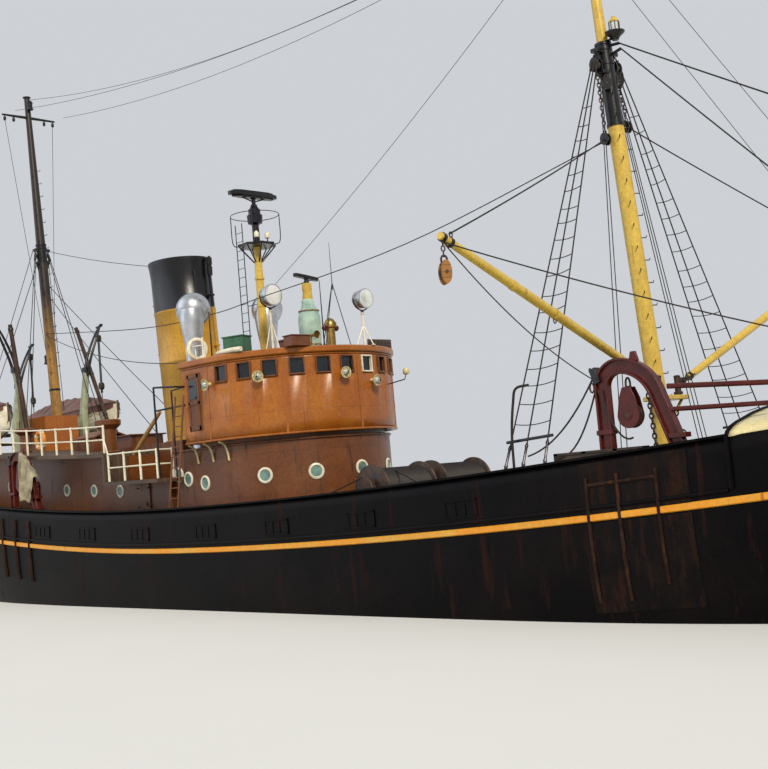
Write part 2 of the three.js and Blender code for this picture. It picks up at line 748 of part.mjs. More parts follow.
// Cowl ventilators
const cowls = [
  { word: "starboard", x: -4.92, y: -2.13, mouth: 9.4, radius: 0.56 },
  { word: "port", x: -4.95, y: 0.98, mouth: 9.52, radius: 0.53 },
];
const cowlTurn = THREE.MathUtils.degToRad(136.4);
const trunkRadius = 0.25;
for (const { word, x, y, mouth, radius } of cowls) {
  const lathed = (profile) =>
    new THREE.LatheGeometry(profile.map((p) => new THREE.Vector2(...p)), 16)
      .rotateZ(-Math.PI / 2)
      .translate(trunkRadius, 0, 0)
      .rotateZ(cowlTurn)
      .translate(x, y, mouth);
  const cup = [[0, -0.5], [0.3, -0.45], [radius * 0.8, -0.1]];
  const bell = lathed([...cup, [radius, 0.15], [radius, 0.2], [0, 0.2]]);
  const lip = radius - 0.05;
  const throat = [[0, -0.33], [0.22, -0.3], [radius * 0.72, -0.02]];
  const hollow = lathed([...throat, [lip, 0.16], [lip, 0.4], [0, 0.4]]);
  const trunk = rod([x, y, house.top + 2 * seam], [x, y, mouth], trunkRadius, 14);
  add(`cowl_${word}`, cut(join(trunk, bell), hollow), finishes.aluminium);
}

// Radar mast and scanner, and the smaller set on its column
const roofTop = bridge.roof + seam;
const radar = { x: -3.47, y: -0.35, platform: 11.3, head: 12.6, scanner: 0.95 };
const radarPole = (low, high, radius, sides, radiusTo) =>
  rod([radar.x, radar.y, low], [radar.x, radar.y, high], radius, sides, radiusTo);
add(
  "radar_mast",
  join(
    radarPole(roofTop, radar.head, 0.14, 12, 0.11),
    radarPole(radar.platform - 0.04, radar.platform + 0.04, 0.65, 12),
    radarPole(radar.head - 0.6, radar.head, 0.26, 12),
  ),
  finishes.buff,
);
add(
  "radar_scanner",
  join(
    box(
      [radar.x - 0.16, radar.y - radar.scanner, radar.head + 0.3],
      [radar.x + 0.16, radar.y + radar.scanner, radar.head + 0.5],
    ),
    radarPole(radar.head + running / 2, radar.head + 0.3, 0.1, 10),
  ),
  finishes.black,
);
const column = { x: -1.54, top: 9.72, scanner: 0.6 };
const neckTop = column.top - roofTop;
add(
  "radar_column",
  turned(
    [[0, 0], [0.34, 0], [0.34, 1.45], [0.18, 1.8], [0.15, neckTop], [0, neckTop]],
    [column.x, 0, roofTop],
  ),
  finishes.davit,
);
add(
  "column_scanner",
  join(
    box(
      [column.x - 0.1, -column.scanner, column.top + 0.12],
      [column.x + 0.1, column.scanner, column.top + 0.28],
    ),
    rod([column.x, 0, column.top + running / 2], [column.x, 0, column.top + 0.2], 0.08, 10),
  ),
  finishes.black,
);

// Searchlights on their stands
const lamps = [
  { word: "fore", x: 0.3, y: 0.6, z: 8.93, radius: 0.31 },
  { word: "aft", x: -2.23, y: -1.0, z: 9.4, radius: 0.35 },
];
for (const { word, x, y, z, radius } of lamps) {
  const stand = rod([x, y, roofTop], [x, y, z - radius - 0.1], 0.05, 8);
  add(`searchlight_stand_${word}`, stand, finishes.white);
  const drum = new THREE.CylinderGeometry(radius, radius * 0.85, 0.45, 16);
  drum.rotateZ(-Math.PI / 2).translate(x, y, z);
  const spindle = rod([x, y, z - radius - 0.08], [x, y, z], 0.05, 8);
  add(`searchlight_${word}`, join(drum, spindle), finishes.aluminium);
}

// Lifeboats and the davits that carry them; each boat hangs from its pair of davits
const lifeboat = {
  from: -25.9, to: -17.4, y: 2.48, half: 0.95, keel: 6.15, gunwale: 7.3, sheer: 0.25, ridge: 0.8,
};
const boatLength = lifeboat.to - lifeboat.from;
const boatPlaces = [0, 0.04, 0.12, 0.28, 0.5, 0.72, 0.88, 0.96, 1];
const boatStations = boatPlaces.map((t) => lifeboat.from + t * boatLength);
function boatRing(x) {
  const t = (2 * (x - lifeboat.from)) / boatLength - 1;
  const half = Math.max(lifeboat.half * (1 - t ** 4), 0.04);
  const keel = lifeboat.keel + 0.45 * t ** 6;
  const gunwale = lifeboat.gunwale + lifeboat.sheer * t ** 2;
  const turnOfBilge = keel + 0.25 * (gunwale - keel);
  return [
    new THREE.Vector3(x, -half, gunwale),
    new THREE.Vector3(x, -half * 0.82, turnOfBilge),
    new THREE.Vector3(x, 0, keel),
    new THREE.Vector3(x, half * 0.82, turnOfBilge),
    new THREE.Vector3(x, half, gunwale),
    new THREE.Vector3(x, 0, gunwale + lifeboat.ridge * (1 - t ** 2) + 0.02),
  ];
}
const davits = [{ word: "aft", x: -24.8 }, { word: "fore", x: -18.6 }];
const davit = { foot: 1.35, knee: 1.62, kneeZ: 9.0, headZ: 11.0, offset: 0.3 };
for (const [side, word] of [[starboard, "starboard"], [port, "port"]]) {
  const boat = loft(boatStations.map(boatRing)).translate(0, side * lifeboat.y, 0);
  const over = side * lifeboat.y;
  const fallTop = davit.headZ - 0.4;
  const falls = davits.map(({ x }) => rod([x, over, lifeboat.gunwale], [x, over, fallTop], 0.05, 6));
  add(`lifeboat_${word}`, join(boat, ...falls), finishes.white);
  for (const { word: end, x } of davits) {
    const at = x + davit.offset;
    const foot = side * davit.foot;
    const arm = join(
      rod([at, foot, boatDeckAt(at) + 0.02], [at, side * davit.knee, davit.kneeZ], 0.17, 8, 0.14),
      rod([at, side * davit.knee, davit.kneeZ - 0.1], [at, over, davit.headZ], 0.12, 8, 0.08),
      rod([at, over, davit.headZ - 0.1], [x - 0.05, over, davit.headZ - 0.1], 0.06, 8),
    );
    add(`davit_${end}_${word}`, arm, finishes.davit);
  }
}

// Standing rigging: the main shrouds of each mast, joined low down by a bar, and the stays to the stem
const wire = 0.03;
const bars = (runs) => join(...runs.map(([from, to, radius]) => rod(from, to, radius, 6)));
const shroudSets = [
  { mastName: "fore", mast: foremast, feet: { starboard: [10.0, 10.5, 11.1], port: [10.3, 10.77, 11.5] } },
  { mastName: "mizzen", mast: mizzen, feet: { starboard: [-17.6, -17.1], port: [-17.6, -17.1] } },
];
const shroudStep = 0.07;
const mizzenShroudY = 1.8;
const sheerPole = { lift: 0.6, radius: 0.05 };
for (const { mastName, mast, feet } of shroudSets) {
  const top = mast.hounds - 0.05;
  const out = mast.houndsOut - 0.06;
  const footAt = (x) => {
    const onBulwark = mast === foremast;
    const y = onBulwark ? edgeAt(x) - ship.bulwarkThick / 2 : mizzenShroudY;
    const z = onBulwark ? deckAt(x) + ship.bulwarkHeight : boatDeckAt(x);
    return [x, y, z + 0.03];
  };
  const poleEnd = ([foot, head], stretch) => {
    const t = sheerPole.lift / (head[2] - foot[2]);
    const [x, y, z] = foot.map((value, axis) => THREE.MathUtils.lerp(value, head[axis], t));
    return [x + stretch, y, z];
  };
  for (const [side, word] of [[starboard, "starboard"], [port, "port"]]) {
    const headX = (k) => mastX(mast, top) + (k - (feet[word].length - 1) / 2) * shroudStep;
    const lines = feet[word].map((x, k) => [footAt(x), [headX(k), out, top], wire]);
    const bar = [poleEnd(lines[0], -0.12), poleEnd(lines.at(-1), 0.12), sheerPole.radius];
    const onSide = ([x, y, z]) => [x, side * y, z];
    const runs = [...lines, bar].map(([from, to, radius]) => [onSide(from), onSide(to), radius]);
    add(`${mastName}_shrouds_${word}`, bars(runs), finishes.wire);
  }
}
const stays = [
  { x: 11.02, z: 13.52, footX: 24.1 },
  { x: 11.06, z: 13.37, footX: 19.2 },
];
const stayEye = { low: 13.3, high: 13.6, out: 11.12, half: 0.06 };
const eyeFace = mastX(foremast, stayEye.low) + foremast.neck + 2 * seam;
add(
  "fore_stays",
  join(
    box([eyeFace, -stayEye.half, stayEye.low], [stayEye.out, stayEye.half, stayEye.high]),
    ...stays.map(({ x, z, footX }) =>
      rod([x, 0, z], [footX, 0, deckAt(footX) + turtle.at(-1).up + 0.04], wire, 6),
    ),
  ),
  finishes.wire,
);

// Boat deck rails: thick posts and two thinner rails along each side
const rail = {
  height: 0.9, middle: 0.45, post: 0.042, bar: 0.026, inset: 0.12, pitch: 1.05, farthest: -15.5, return: 3.3,
};
function railPosts({ from, to }, topAt, side) {
  const start = Math.max(from, rail.farthest) + 0.1;
  const end = to - 0.1;
  const count = Math.round((end - start) / rail.pitch);
  return Array.from({ length: count + 1 }, (_, k) => {
    const x = start + ((end - start) * k) / count;
    return [x, side * (boatDeckHalf(x) - rail.inset), topAt(x) + 0.01];
  });
}
for (const [side, word] of [[starboard, "starboard"], [port, "port"]]) {
  const raised = ([x, y, z], up) => [x, y, z + up];
  const between = (points, up) =>
    points.slice(1).map((p, k) => [raised(points[k], up), raised(p, up), rail.bar]);
  const low = railPosts(lowDeck, lowDeckAt, side);
  low.push([low.at(-1)[0], side * rail.return, low.at(-1)[2]]);
  const high = railPosts(highDeck, highDeckAt, side);
  const posts = [...low, ...high].map((p) => [p, raised(p, rail.height + rail.post), rail.post]);
  const step = [raised(high.at(-1), rail.middle), raised(low[0], rail.height), rail.bar];
  add(
    `boat_deck_rail_${word}`,
    bars([
      ...posts,
      step,
      ...[low, high].flatMap((run) => [...between(run, rail.middle), ...between(run, rail.height)]),
    ]),
    finishes.white,
  );
}

// Propeller and rudder
const blades = Array.from({ length: 4 }, (_, k) =>
  new THREE.CylinderGeometry(0.5, 0.32, screw.radius - 0.15, 10)
    .scale(0.12, 1, 1)
    .translate(0, screw.radius / 2 + 0.075, 0)
    .rotateY(0.6)
    .rotateX((Math.PI / 2) * k),
);
add(
  "propeller",
  join(rod([-0.45, 0, 0], [0.55, 0, 0], 0.16, 16, screw.hub), ...blades).translate(screw.x, 0, screw.z),
  finishes.bronze,
);
const rudderOutline = [
  [rudderStock.x, -4.68], [rudderStock.x, -1.15], [-24.1, -0.85],
  [-25.3, -1.1], [-25.3, -4.3], [-24.6, -4.68],
];
add(
  "rudder",
  join(
    upright(rudderOutline, -0.08, 0.08),
    rod([rudderStock.x, 0, -4.68], [rudderStock.x, 0, -0.92], rudderStock.radius, 12),
  ),
  finishes.hull,
);

model.scale.setScalar(1000 * modelScale);
model.updateMatrixWorld(true);
export default model;
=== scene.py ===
# Steam side trawler, 1:2 model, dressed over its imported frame
import functools
import math
import random

import bmesh
import bpy
from mathutils import Matrix, Vector


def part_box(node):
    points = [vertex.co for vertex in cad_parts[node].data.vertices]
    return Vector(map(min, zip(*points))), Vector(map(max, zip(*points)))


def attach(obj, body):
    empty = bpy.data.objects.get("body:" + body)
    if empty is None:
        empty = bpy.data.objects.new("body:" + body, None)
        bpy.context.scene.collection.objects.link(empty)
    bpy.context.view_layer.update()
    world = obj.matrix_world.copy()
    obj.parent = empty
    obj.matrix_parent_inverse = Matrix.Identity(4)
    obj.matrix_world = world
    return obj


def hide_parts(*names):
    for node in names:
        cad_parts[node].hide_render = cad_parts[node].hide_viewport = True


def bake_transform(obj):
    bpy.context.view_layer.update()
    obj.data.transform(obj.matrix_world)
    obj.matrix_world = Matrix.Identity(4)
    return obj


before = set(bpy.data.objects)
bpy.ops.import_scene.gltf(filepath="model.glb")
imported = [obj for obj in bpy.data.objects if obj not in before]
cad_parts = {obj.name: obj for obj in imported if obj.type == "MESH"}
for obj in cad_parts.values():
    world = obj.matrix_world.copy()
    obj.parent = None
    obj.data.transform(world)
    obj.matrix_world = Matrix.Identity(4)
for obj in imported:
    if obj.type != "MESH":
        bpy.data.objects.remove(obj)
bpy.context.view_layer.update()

modelScale = 0.5  # every size below is the full-size ship's, in metres
random.seed(7)

# Camera off the starboard bow, at eye height above the rail
cameraView = {
    "place": (13.924, -12.497, 1.6965),
    "right": (0.68273, 0.72567, -0.08535),
    "up": (0.11337, 0.01019, 0.99350),
    "back": (0.72182, -0.68797, -0.07531),
    "lens": 57.24,
    "sensor": 36,
    "reach": 500,
}
camera = bpy.data.objects.new("camera", bpy.data.cameras.new("camera"))
bpy.context.scene.collection.objects.link(camera)
camera.data.lens = cameraView["lens"]
camera.data.sensor_width = cameraView["sensor"]
camera.data.clip_end = cameraView["reach"]
turn = Matrix((cameraView["right"], cameraView["up"], cameraView["back"])).transposed()
camera.matrix_world = Matrix.Translation(cameraView["place"]) @ turn.to_4x4()
bpy.context.scene.camera = camera
print("camera set")


# Materials
def hexToLinear(code):
    parts = [int(code[k : k + 2], 16) / 255 for k in (1, 3, 5)]
    linear = [c / 12.92 if c <= 0.04045 else ((c + 0.055) / 1.055) ** 2.4 for c in parts]
    return (*linear, 1)


# A node from values, properties and other nodes' outputs; it gives back the output that is wanted
def addNode(tree, kind, settings=(), output=0):
    node = tree.nodes.new("ShaderNode" + kind)
    for key, value in dict(settings).items():
        if key == "ramp":
            for element, (place, colour) in zip(node.color_ramp.elements, value):
                element.position = place
                element.color = colour
        elif isinstance(value, bpy.types.NodeSocket):
            tree.links.new(value, node.inputs[key])
        elif isinstance(key, int) or key in node.inputs:
            node.inputs[key].default_value = value
        else:
            setattr(node, key, value)
    return node.outputs[output] if node.outputs else None


def startMaterial(name):
    material = bpy.data.materials.new(name)
    material.use_nodes = True
    material.node_tree.nodes.clear()
    return material, material.node_tree, addNode(material.node_tree, "TexCoord", (), "Object")


def endMaterial(tree, settings):
    shader = addNode(tree, "BsdfPrincipled", settings, "BSDF")
    addNode(tree, "OutputMaterial", {"Surface": shader})


def noise(tree, place, size, detail, roughness=0.5):
    settings = {"Scale": 1 / (size * mm), "Detail": detail, "Roughness": roughness, "Vector": place}
    return addNode(tree, "TexNoise", settings, "Fac")


def ramp(tree, source, low, dark, high, light):
    return addNode(tree, "ValToRGB", {"ramp": [(low, dark), (high, light)], "Fac": source}, "Color")


def remap(tree, source, low, high, fromLow=0, fromHigh=1):
    settings = {"From Min": fromLow, "From Max": fromHigh, "To Min": low, "To Max": high, "Value": source}
    return addNode(tree, "MapRange", settings, "Result")


def mixed(tree, share, first, second, way="MIX"):
    return addNode(tree, "Mix", {"data_type": "RGBA", "blend_type": way, 0: share, 6: first, 7: second}, 2)


def bumped(tree, height, strength, depth):
    return addNode(tree, "Bump", {"Strength": strength, "Distance": depth * mm, "Height": height}, "Normal")


def grey(level):
    return (level, level, level, 1)


black = grey(0)
white = grey(1)
mm = 0.001
sootBrown = "#4a3a30"
steelIndex, glassIndex = 1.5, 1.52  # how far each bends light


# Brushed oil paint on steel: soft shine, faded patches, and rust that runs down from the edges
def paintedSteel(name, look):
    material, tree, place = startMaterial(name)
    patchMask = ramp(tree, noise(tree, place, look["patch"], 5, 0.6), 0.42, black, 0.66, white)
    painted = mixed(tree, patchMask, hexToLinear(look["base"]), hexToLinear(look["faded"]))
    squeezed = addNode(tree, "Mapping", {"Scale": (1, 1, look.get("run", 0.12)), "Vector": place})
    runs = noise(tree, squeezed, look["streak"], 6, 0.65)
    rustFrom = 0.72 - 0.3 * look["rustShare"]
    runMask = ramp(tree, runs, rustFrom, black, rustFrom + 0.14, white)
    rusted = mixed(tree, runMask, painted, hexToLinear(look["rust"]))
    grime = noise(tree, place, 40, 4, 0.7)
    grimeMask = remap(tree, grime, 0, look["grime"], 0.35, 0.75)
    colour = mixed(tree, grimeMask, rusted, hexToLinear(sootBrown), "MULTIPLY")
    height = grime
    if "above" in look:  # a second coat above a level, with a soft sooty edge
        level = look["level"] * modelScale
        upward = addNode(tree, "SeparateXYZ", {"Vector": place}, "Z")
        edge = remap(tree, upward, 0, 1, level, level + look["soft"] * modelScale)
        colour = mixed(tree, edge, colour, hexToLinear(look["above"]))
    if "plate" in look:  # lapped plates, with the seams standing out a little
        upward = addNode(tree, "SeparateXYZ", {"Vector": place}, "Z")
        side = addNode(tree, "CombineXYZ", {"X": upward.node.outputs["X"], "Y": upward})
        plating = {
            "Scale": 1, "Mortar Size": 0.004, "Mortar Smooth": 0.4, "Color1": white, "Color2": grey(0.9),
            "Mortar": grey(0.2), "Brick Width": look["plate"][0], "Row Height": look["plate"][1],
            "Vector": side,
        }
        plates = addNode(tree, "TexBrick", plating, "Color")
        colour = mixed(tree, 0.5, colour, plates, "MULTIPLY")
        seams = plates.node.outputs["Fac"]
        height = addNode(tree, "Math", {"operation": "MULTIPLY_ADD", 0: seams, 1: -0.6, 2: grime})
    endMaterial(tree, {
        "IOR": steelIndex, "Specular IOR Level": look.get("gloss", 0.4), "Base Color": colour,
        "Roughness": remap(tree, runMask, look["rough"] - 0.12, look["rough"] + 0.2),
        "Normal": bumped(tree, height, look.get("bump", 0.25), 6),
    })
    return material


# Metal left bare or bright: a clear reflection, dulled by salt in patches
def bareMetal(name, look):
    material, tree, place = startMaterial(name)
    salt = noise(tree, place, look["patch"], 6, 0.65)
    endMaterial(tree, {
        "Metallic": look["metal"],
        "Base Color": ramp(tree, salt, 0.35, hexToLinear(look["base"]), 0.7, hexToLinear(look["dull"])),
        "Roughness": remap(tree, salt, look["rough"] - 0.08, look["rough"] + 0.2),
        "Normal": bumped(tree, salt, look.get("bump", 0.1), 3),
    })
    return material


# Sawn planks laid along the ship: grain, wet patches and dark caulked seams
def plankedWood(name, look):
    material, tree, place = startMaterial(name)
    along = addNode(tree, "SeparateXYZ", {"Vector": place}, "X")
    flat = addNode(tree, "CombineXYZ", {"X": along, "Y": along.node.outputs[look["across"]]})
    laid = {
        "Scale": 1, "Mortar Size": look["seam"] * mm, "Mortar Smooth": 0.2,
        "Color1": hexToLinear(look["light"]), "Color2": hexToLinear(look["dark"]),
        "Mortar": hexToLinear(look["caulk"]), "Brick Width": 2.4, "Row Height": look["plank"] * mm,
        "Vector": flat,
    }
    stretched = addNode(tree, "Mapping", {"Scale": (0.08, 1, 1), "Vector": place})
    grain = ramp(tree, noise(tree, stretched, 12, 5, 0.6), 0.3, (0.45, 0.42, 0.4, 1), 0.7, white)
    planks = addNode(tree, "TexBrick", laid, "Color")
    grained = mixed(tree, 0.7, planks, grain, "MULTIPLY")
    wet = noise(tree, place, 600, 4)
    damp = ramp(tree, wet, 0.4, (0.5, 0.47, 0.45, 1), 0.62, white)
    sunk = {"Strength": 0.4, "Distance": 4 * mm, "invert": True, "Height": planks.node.outputs["Fac"]}
    endMaterial(tree, {
        "IOR": steelIndex, "Base Color": mixed(tree, 0.8, grained, damp, "MULTIPLY"),
        "Roughness": remap(tree, wet, 0.4, 0.9), "Normal": addNode(tree, "Bump", sunk, "Normal"),
    })
    return material


# Laid rope and woven canvas: matt, with the twist or weave drawn coarse enough to show
def fibre(name, look):
    material, tree, place = startMaterial(name)
    threads = {
        "wave_type": "BANDS", "bands_direction": "DIAGONAL", "Scale": 1 / (look["thread"] * mm),
        "Distortion": 1.5, "Vector": place,
    }
    stain = noise(tree, place, look["patch"], 5)
    endMaterial(tree, {
        "Roughness": look["rough"], "Sheen Weight": look.get("sheen", 0),
        "Base Color": ramp(tree, stain, 0.35, hexToLinear(look["dark"]), 0.65, hexToLinear(look["base"])),
        "Normal": bumped(tree, addNode(tree, "TexWave", threads, "Fac"), 0.3, 3),
    })
    return material


# Window and lamp glass: dark behind, with a sharp sky reflection and a film of salt
def glass(name, look):
    material, tree, place = startMaterial(name)
    film = noise(tree, place, 150, 4)
    endMaterial(tree, {
        "IOR": glassIndex, "Roughness": remap(tree, film, 0.03, 0.25),
        "Base Color": ramp(tree, film, 0.4, hexToLinear(look["base"]), 0.75, hexToLinear(look["film"])),
    })
    return material


steelLooks = {
    "blackHullPaint": {
        "base": "#060506", "faded": "#100b0b", "rust": "#2a170f", "rustShare": 0.44, "patch": 900,
        "streak": 170, "run": 0.1, "rough": 0.5, "gloss": 0.07, "grime": 0.5, "plate": (2.6, 0.62),
        "bump": 0.35,
    },
    "rustedHullPaint": {
        "base": "#0d0a0a", "faded": "#1b120f", "rust": "#2b1911", "rustShare": 0.72, "patch": 340,
        "streak": 110, "run": 0.12, "rough": 0.6, "gloss": 0.08, "grime": 0.5, "bump": 0.6,
    },
    "rustyBars": {
        "base": "#20140f", "faded": "#33221a", "rust": "#4a2c1b", "rustShare": 0.6, "patch": 200,
        "streak": 60, "run": 0.2, "rough": 0.75, "gloss": 0.1, "grime": 0.4, "bump": 0.5,
    },
    "yellowLinePaint": {
        "base": "#e0921c", "faded": "#d9a23a", "rust": "#7d4216", "rustShare": 0.3, "patch": 400,
        "streak": 90, "rough": 0.4, "grime": 0.25,
    },
    "creamPaint": {
        "base": "#ddcf9a", "faded": "#cbbd8a", "rust": "#8a6a3c", "rustShare": 0.22, "patch": 500,
        "streak": 110, "rough": 0.42, "grime": 0.3,
    },
    "whitePaint": {
        "base": "#e6e0cc", "faded": "#cfc7ad", "rust": "#a0703c", "rustShare": 0.3, "patch": 220,
        "streak": 60, "rough": 0.4, "grime": 0.25,
    },
    "orangeBrownPaint": {
        "base": "#9a5618", "faded": "#a9661f", "rust": "#5e3415", "rustShare": 0.34, "patch": 420,
        "streak": 90, "run": 0.1, "rough": 0.42, "grime": 0.4, "plate": (1.7, 1.4),
    },
    "darkBrownPaint": {
        "base": "#673919", "faded": "#75451f", "rust": "#2e1c13", "rustShare": 0.5, "patch": 420,
        "streak": 110, "run": 0.12, "rough": 0.48, "grime": 0.45, "plate": (1.6, 1.1),
    },
    "buffMastPaint": {
        "base": "#d0b04b", "faded": "#c4a344", "rust": "#5e451f", "rustShare": 0.4, "patch": 260,
        "streak": 45, "run": 0.05, "rough": 0.4, "grime": 0.35,
    },
    "buffFunnelPaint": {
        "base": "#c49428", "faded": "#b38526", "rust": "#5e3f19", "rustShare": 0.42, "patch": 420,
        "streak": 80, "run": 0.08, "rough": 0.42, "grime": 0.4, "above": "#0b0a0c", "level": 9.86,
        "soft": 0.03, "plate": (0.9, 1.0),
    },
    "creosotedSpar": {
        "base": "#35241b", "faded": "#4d3829", "rust": "#22160f", "rustShare": 0.3, "patch": 260,
        "streak": 60, "run": 0.5, "rough": 0.75, "gloss": 0.25, "grime": 0.4, "bump": 0.4,
    },
    "smokedMastPaint": {
        "base": "#a57a34", "faded": "#8c6630", "rust": "#3f2d1c", "rustShare": 0.45, "patch": 260,
        "streak": 45, "run": 0.05, "rough": 0.5, "grime": 0.5, "above": "#241c17", "level": 9.2, "soft": 3.0,
    },
    "blackIronPaint": {
        "base": "#0e0d10", "faded": "#191719", "rust": "#38221a", "rustShare": 0.28, "patch": 150,
        "streak": 40, "rough": 0.4, "grime": 0.4,
    },
    "redOxidePaint": {
        "base": "#48150f", "faded": "#591d15", "rust": "#25100d", "rustShare": 0.4, "patch": 160,
        "streak": 50, "run": 0.2, "rough": 0.42, "gloss": 0.3, "grime": 0.45, "bump": 0.5,
    },
    "greyGreenPaint": {
        "base": "#a3aa8c", "faded": "#8d9478", "rust": "#7d6038", "rustShare": 0.3, "patch": 240,
        "streak": 60, "rough": 0.45, "grime": 0.4,
    },
    "greenBoxPaint": {
        "base": "#2f5a40", "faded": "#3d6a4d", "rust": "#3a3a22", "rustShare": 0.3, "patch": 120,
        "streak": 40, "rough": 0.45, "grime": 0.4,
    },
    "lifebuoyPaint": {
        "base": "#d98324", "faded": "#c9a04c", "rust": "#8a5a24", "rustShare": 0.2, "patch": 120,
        "streak": 40, "rough": 0.5, "grime": 0.3,
    },
}
metalLooks = {
    "aluminiumPaint": {"base": "#c9ccd0", "dull": "#9a9da2", "patch": 260, "rough": 0.27, "metal": 0.9},
    "greasedIron": {"base": "#2e2b2a", "dull": "#5a4334", "patch": 90, "rough": 0.45, "metal": 0.6,
                    "bump": 0.35},
    "galvanisedWire": {"base": "#1c1b1c", "dull": "#332b27", "patch": 60, "rough": 0.5, "metal": 0.5},
    "dullBrass": {"base": "#a98a4c", "dull": "#6e5a36", "patch": 60, "rough": 0.35, "metal": 1.0},
    "propellerBronze": {"base": "#9a7a44", "dull": "#5f6a4e", "patch": 160, "rough": 0.38, "metal": 1.0},
}
woodLooks = {
    "deckPlanking": {
        "light": "#6b543d", "dark": "#4e3d2e", "caulk": "#17120f", "plank": 65, "seam": 3, "across": "Y",
    },
    "boardPlanking": {
        "light": "#5a4a3a", "dark": "#41352a", "caulk": "#15100c", "plank": 110, "seam": 5, "across": "Z",
    },
    "yellowBlockWood": {
        "light": "#c98a2c", "dark": "#a8701f", "caulk": "#4a2e10", "plank": 60, "seam": 2, "across": "Z",
    },
}
fibreLooks = {
    "tarredRope": {"base": "#2a2420", "dark": "#171412", "thread": 20, "patch": 90, "rough": 0.85},
    "hempRope": {"base": "#a08a62", "dark": "#6d5b40", "thread": 20, "patch": 90, "rough": 0.9},
    "brownCanvas": {"base": "#6e4136", "dark": "#4d2d27", "thread": 12, "patch": 300, "rough": 0.9,
                    "sheen": 0.2},
    "paleCanvas": {"base": "#a39a80", "dark": "#6d6652", "thread": 12, "patch": 200, "rough": 0.9,
                   "sheen": 0.2},
    "greenCanvas": {"base": "#a9c2b4", "dark": "#7f9c90", "thread": 12, "patch": 160, "rough": 0.8,
                    "sheen": 0.2},
}
glassLooks = {
    "windowGlass": {"base": "#0b0d12", "film": "#1c2228"},
    "lampGlass": {"base": "#cfd2d0", "film": "#9ea39c"},
    "portholeGlass": {"base": "#6d8f86", "film": "#3c564f"},
}
finishes = {}
for makeFinish, looks in (
    (paintedSteel, steelLooks), (bareMetal, metalLooks), (plankedWood, woodLooks), (fibre, fibreLooks),
    (glass, glassLooks),
):
    for name, look in looks.items():
        finishes[name] = makeFinish(name, look)
print("materials made:", len(finishes))

bothSides = {"starboard": -1, "port": 1}
foreAndAft = ("fore", "aft")


def each(ends, *names):
    return [f"{name}_{end}" for name in names for end in ends]


# Every CAD solid gets the finish of what it is
nodeFinishes = {
    "blackHullPaint": ["hull", "bulwark", "rudder"],
    "darkBrownPaint": ["casing", "bridge_house", "skylight", "hatch_coaming",
                       *each(bothSides, "skylight_flap")],
    "orangeBrownPaint": ["galley_house", "wheelhouse_wall", "wheelhouse_roof",
                         *each(bothSides, "wheelhouse_door")],
    "creamPaint": ["whaleback"],
    "buffMastPaint": ["foremast", "radar_mast", *each(bothSides, "boom")],
    "smokedMastPaint": ["mizzen"],
    "buffFunnelPaint": ["funnel"],
    "redOxidePaint": each(foreAndAft, "gallows", "gallows_block"),
    "deckPlanking": ["boat_deck", "wheelhouse_floor"],
    "boardPlanking": ["hatch_lid", *each(foreAndAft, "otter_board")],
    "greasedIron": ["winch_bed", "windlass_bed", "windlass_barrel",
                    *each(bothSides, "winch_drum", "gooseneck")],
    "aluminiumPaint": [*each(bothSides, "cowl"), *each(foreAndAft, "searchlight")],
    "blackIronPaint": ["radar_scanner", "column_scanner"],
    "greenCanvas": ["radar_column"],
    "whitePaint": [*each(foreAndAft, "searchlight_stand"), *each(bothSides, "boat_deck_rail", "lifeboat")],
    "greyGreenPaint": each(bothSides, "davit_aft", "davit_fore"),
    "galvanisedWire": ["fore_stays", *each(bothSides, "fore_shrouds", "mizzen_shrouds")],
    "propellerBronze": ["propeller"],
}
for finish, names in nodeFinishes.items():
    for name in names:
        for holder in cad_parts[name].material_slots:
            holder.material = finishes[finish]
print("CAD solids finished:", sum(len(names) for names in nodeFinishes.values()))


# Mesh tools: each adds to a bmesh in full-size metres, and takes the place of its finish in the piece's list
def addRing(bm, centre, across, up, radius, sides):
    return [
        bm.verts.new(centre + radius * (math.cos(a) * across + math.sin(a) * up))
        for a in (2 * math.pi * k / sides for k in range(sides))
    ]


def addSkin(bm, rings, finish, closed=True, ends=True):
    for ring, following in zip(rings, rings[1:]):
        count = len(ring)
        for k in range(count if closed else count - 1):
            quad = [ring[k], ring[(k + 1) % count], following[(k + 1) % count], following[k]]
            bm.faces.new(quad).material_index = finish
    if ends and closed:
        bm.faces.new(list(reversed(rings[0]))).material_index = finish
        bm.faces.new(rings[-1]).material_index = finish


def addTube(bm, points, radius, sides=8, finish=0, loop=False):
    points = [Vector(p) for p in points]
    count = len(points)
    radii = radius if isinstance(radius, list) else [radius] * count
    across = None
    rings = []
    for k, point in enumerate(points):
        before = points[k - 1] if k or loop else point
        after = points[(k + 1) % count] if k + 1 < count or loop else point
        along = (after - before).normalized()
        if across is None:
            across = along.orthogonal().normalized()
        across = (across - across.dot(along) * along).normalized()
        rings.append(addRing(bm, point, across, along.cross(across), radii[k], sides))
    if loop:
        rings.append(rings[0])
    addSkin(bm, rings, finish, ends=not loop)


def addBox(bm, low, high, finish=0, place=None):
    corners = [Vector((x, y, z)) for z in (low[2], high[2]) for x, y in (
        (low[0], low[1]), (high[0], low[1]), (high[0], high[1]), (low[0], high[1])
    )]
    if place:
        corners = [place @ corner for corner in corners]
    v = [bm.verts.new(corner) for corner in corners]
    addSkin(bm, [v[:4], v[4:]], finish)


# A round body from [radius, height] pairs, standing along the place's own z
def addTurned(bm, profile, place, sides=24, finish=0):
    rings = []
    for radius, height in profile:
        centre = Vector((0, 0, height))
        ring = addRing(bm, centre, Vector((1, 0, 0)), Vector((0, 1, 0)), max(radius, 0.0005), sides)
        for vert in ring:
            vert.co = place @ vert.co
        rings.append(ring)
    addSkin(bm, rings, finish)


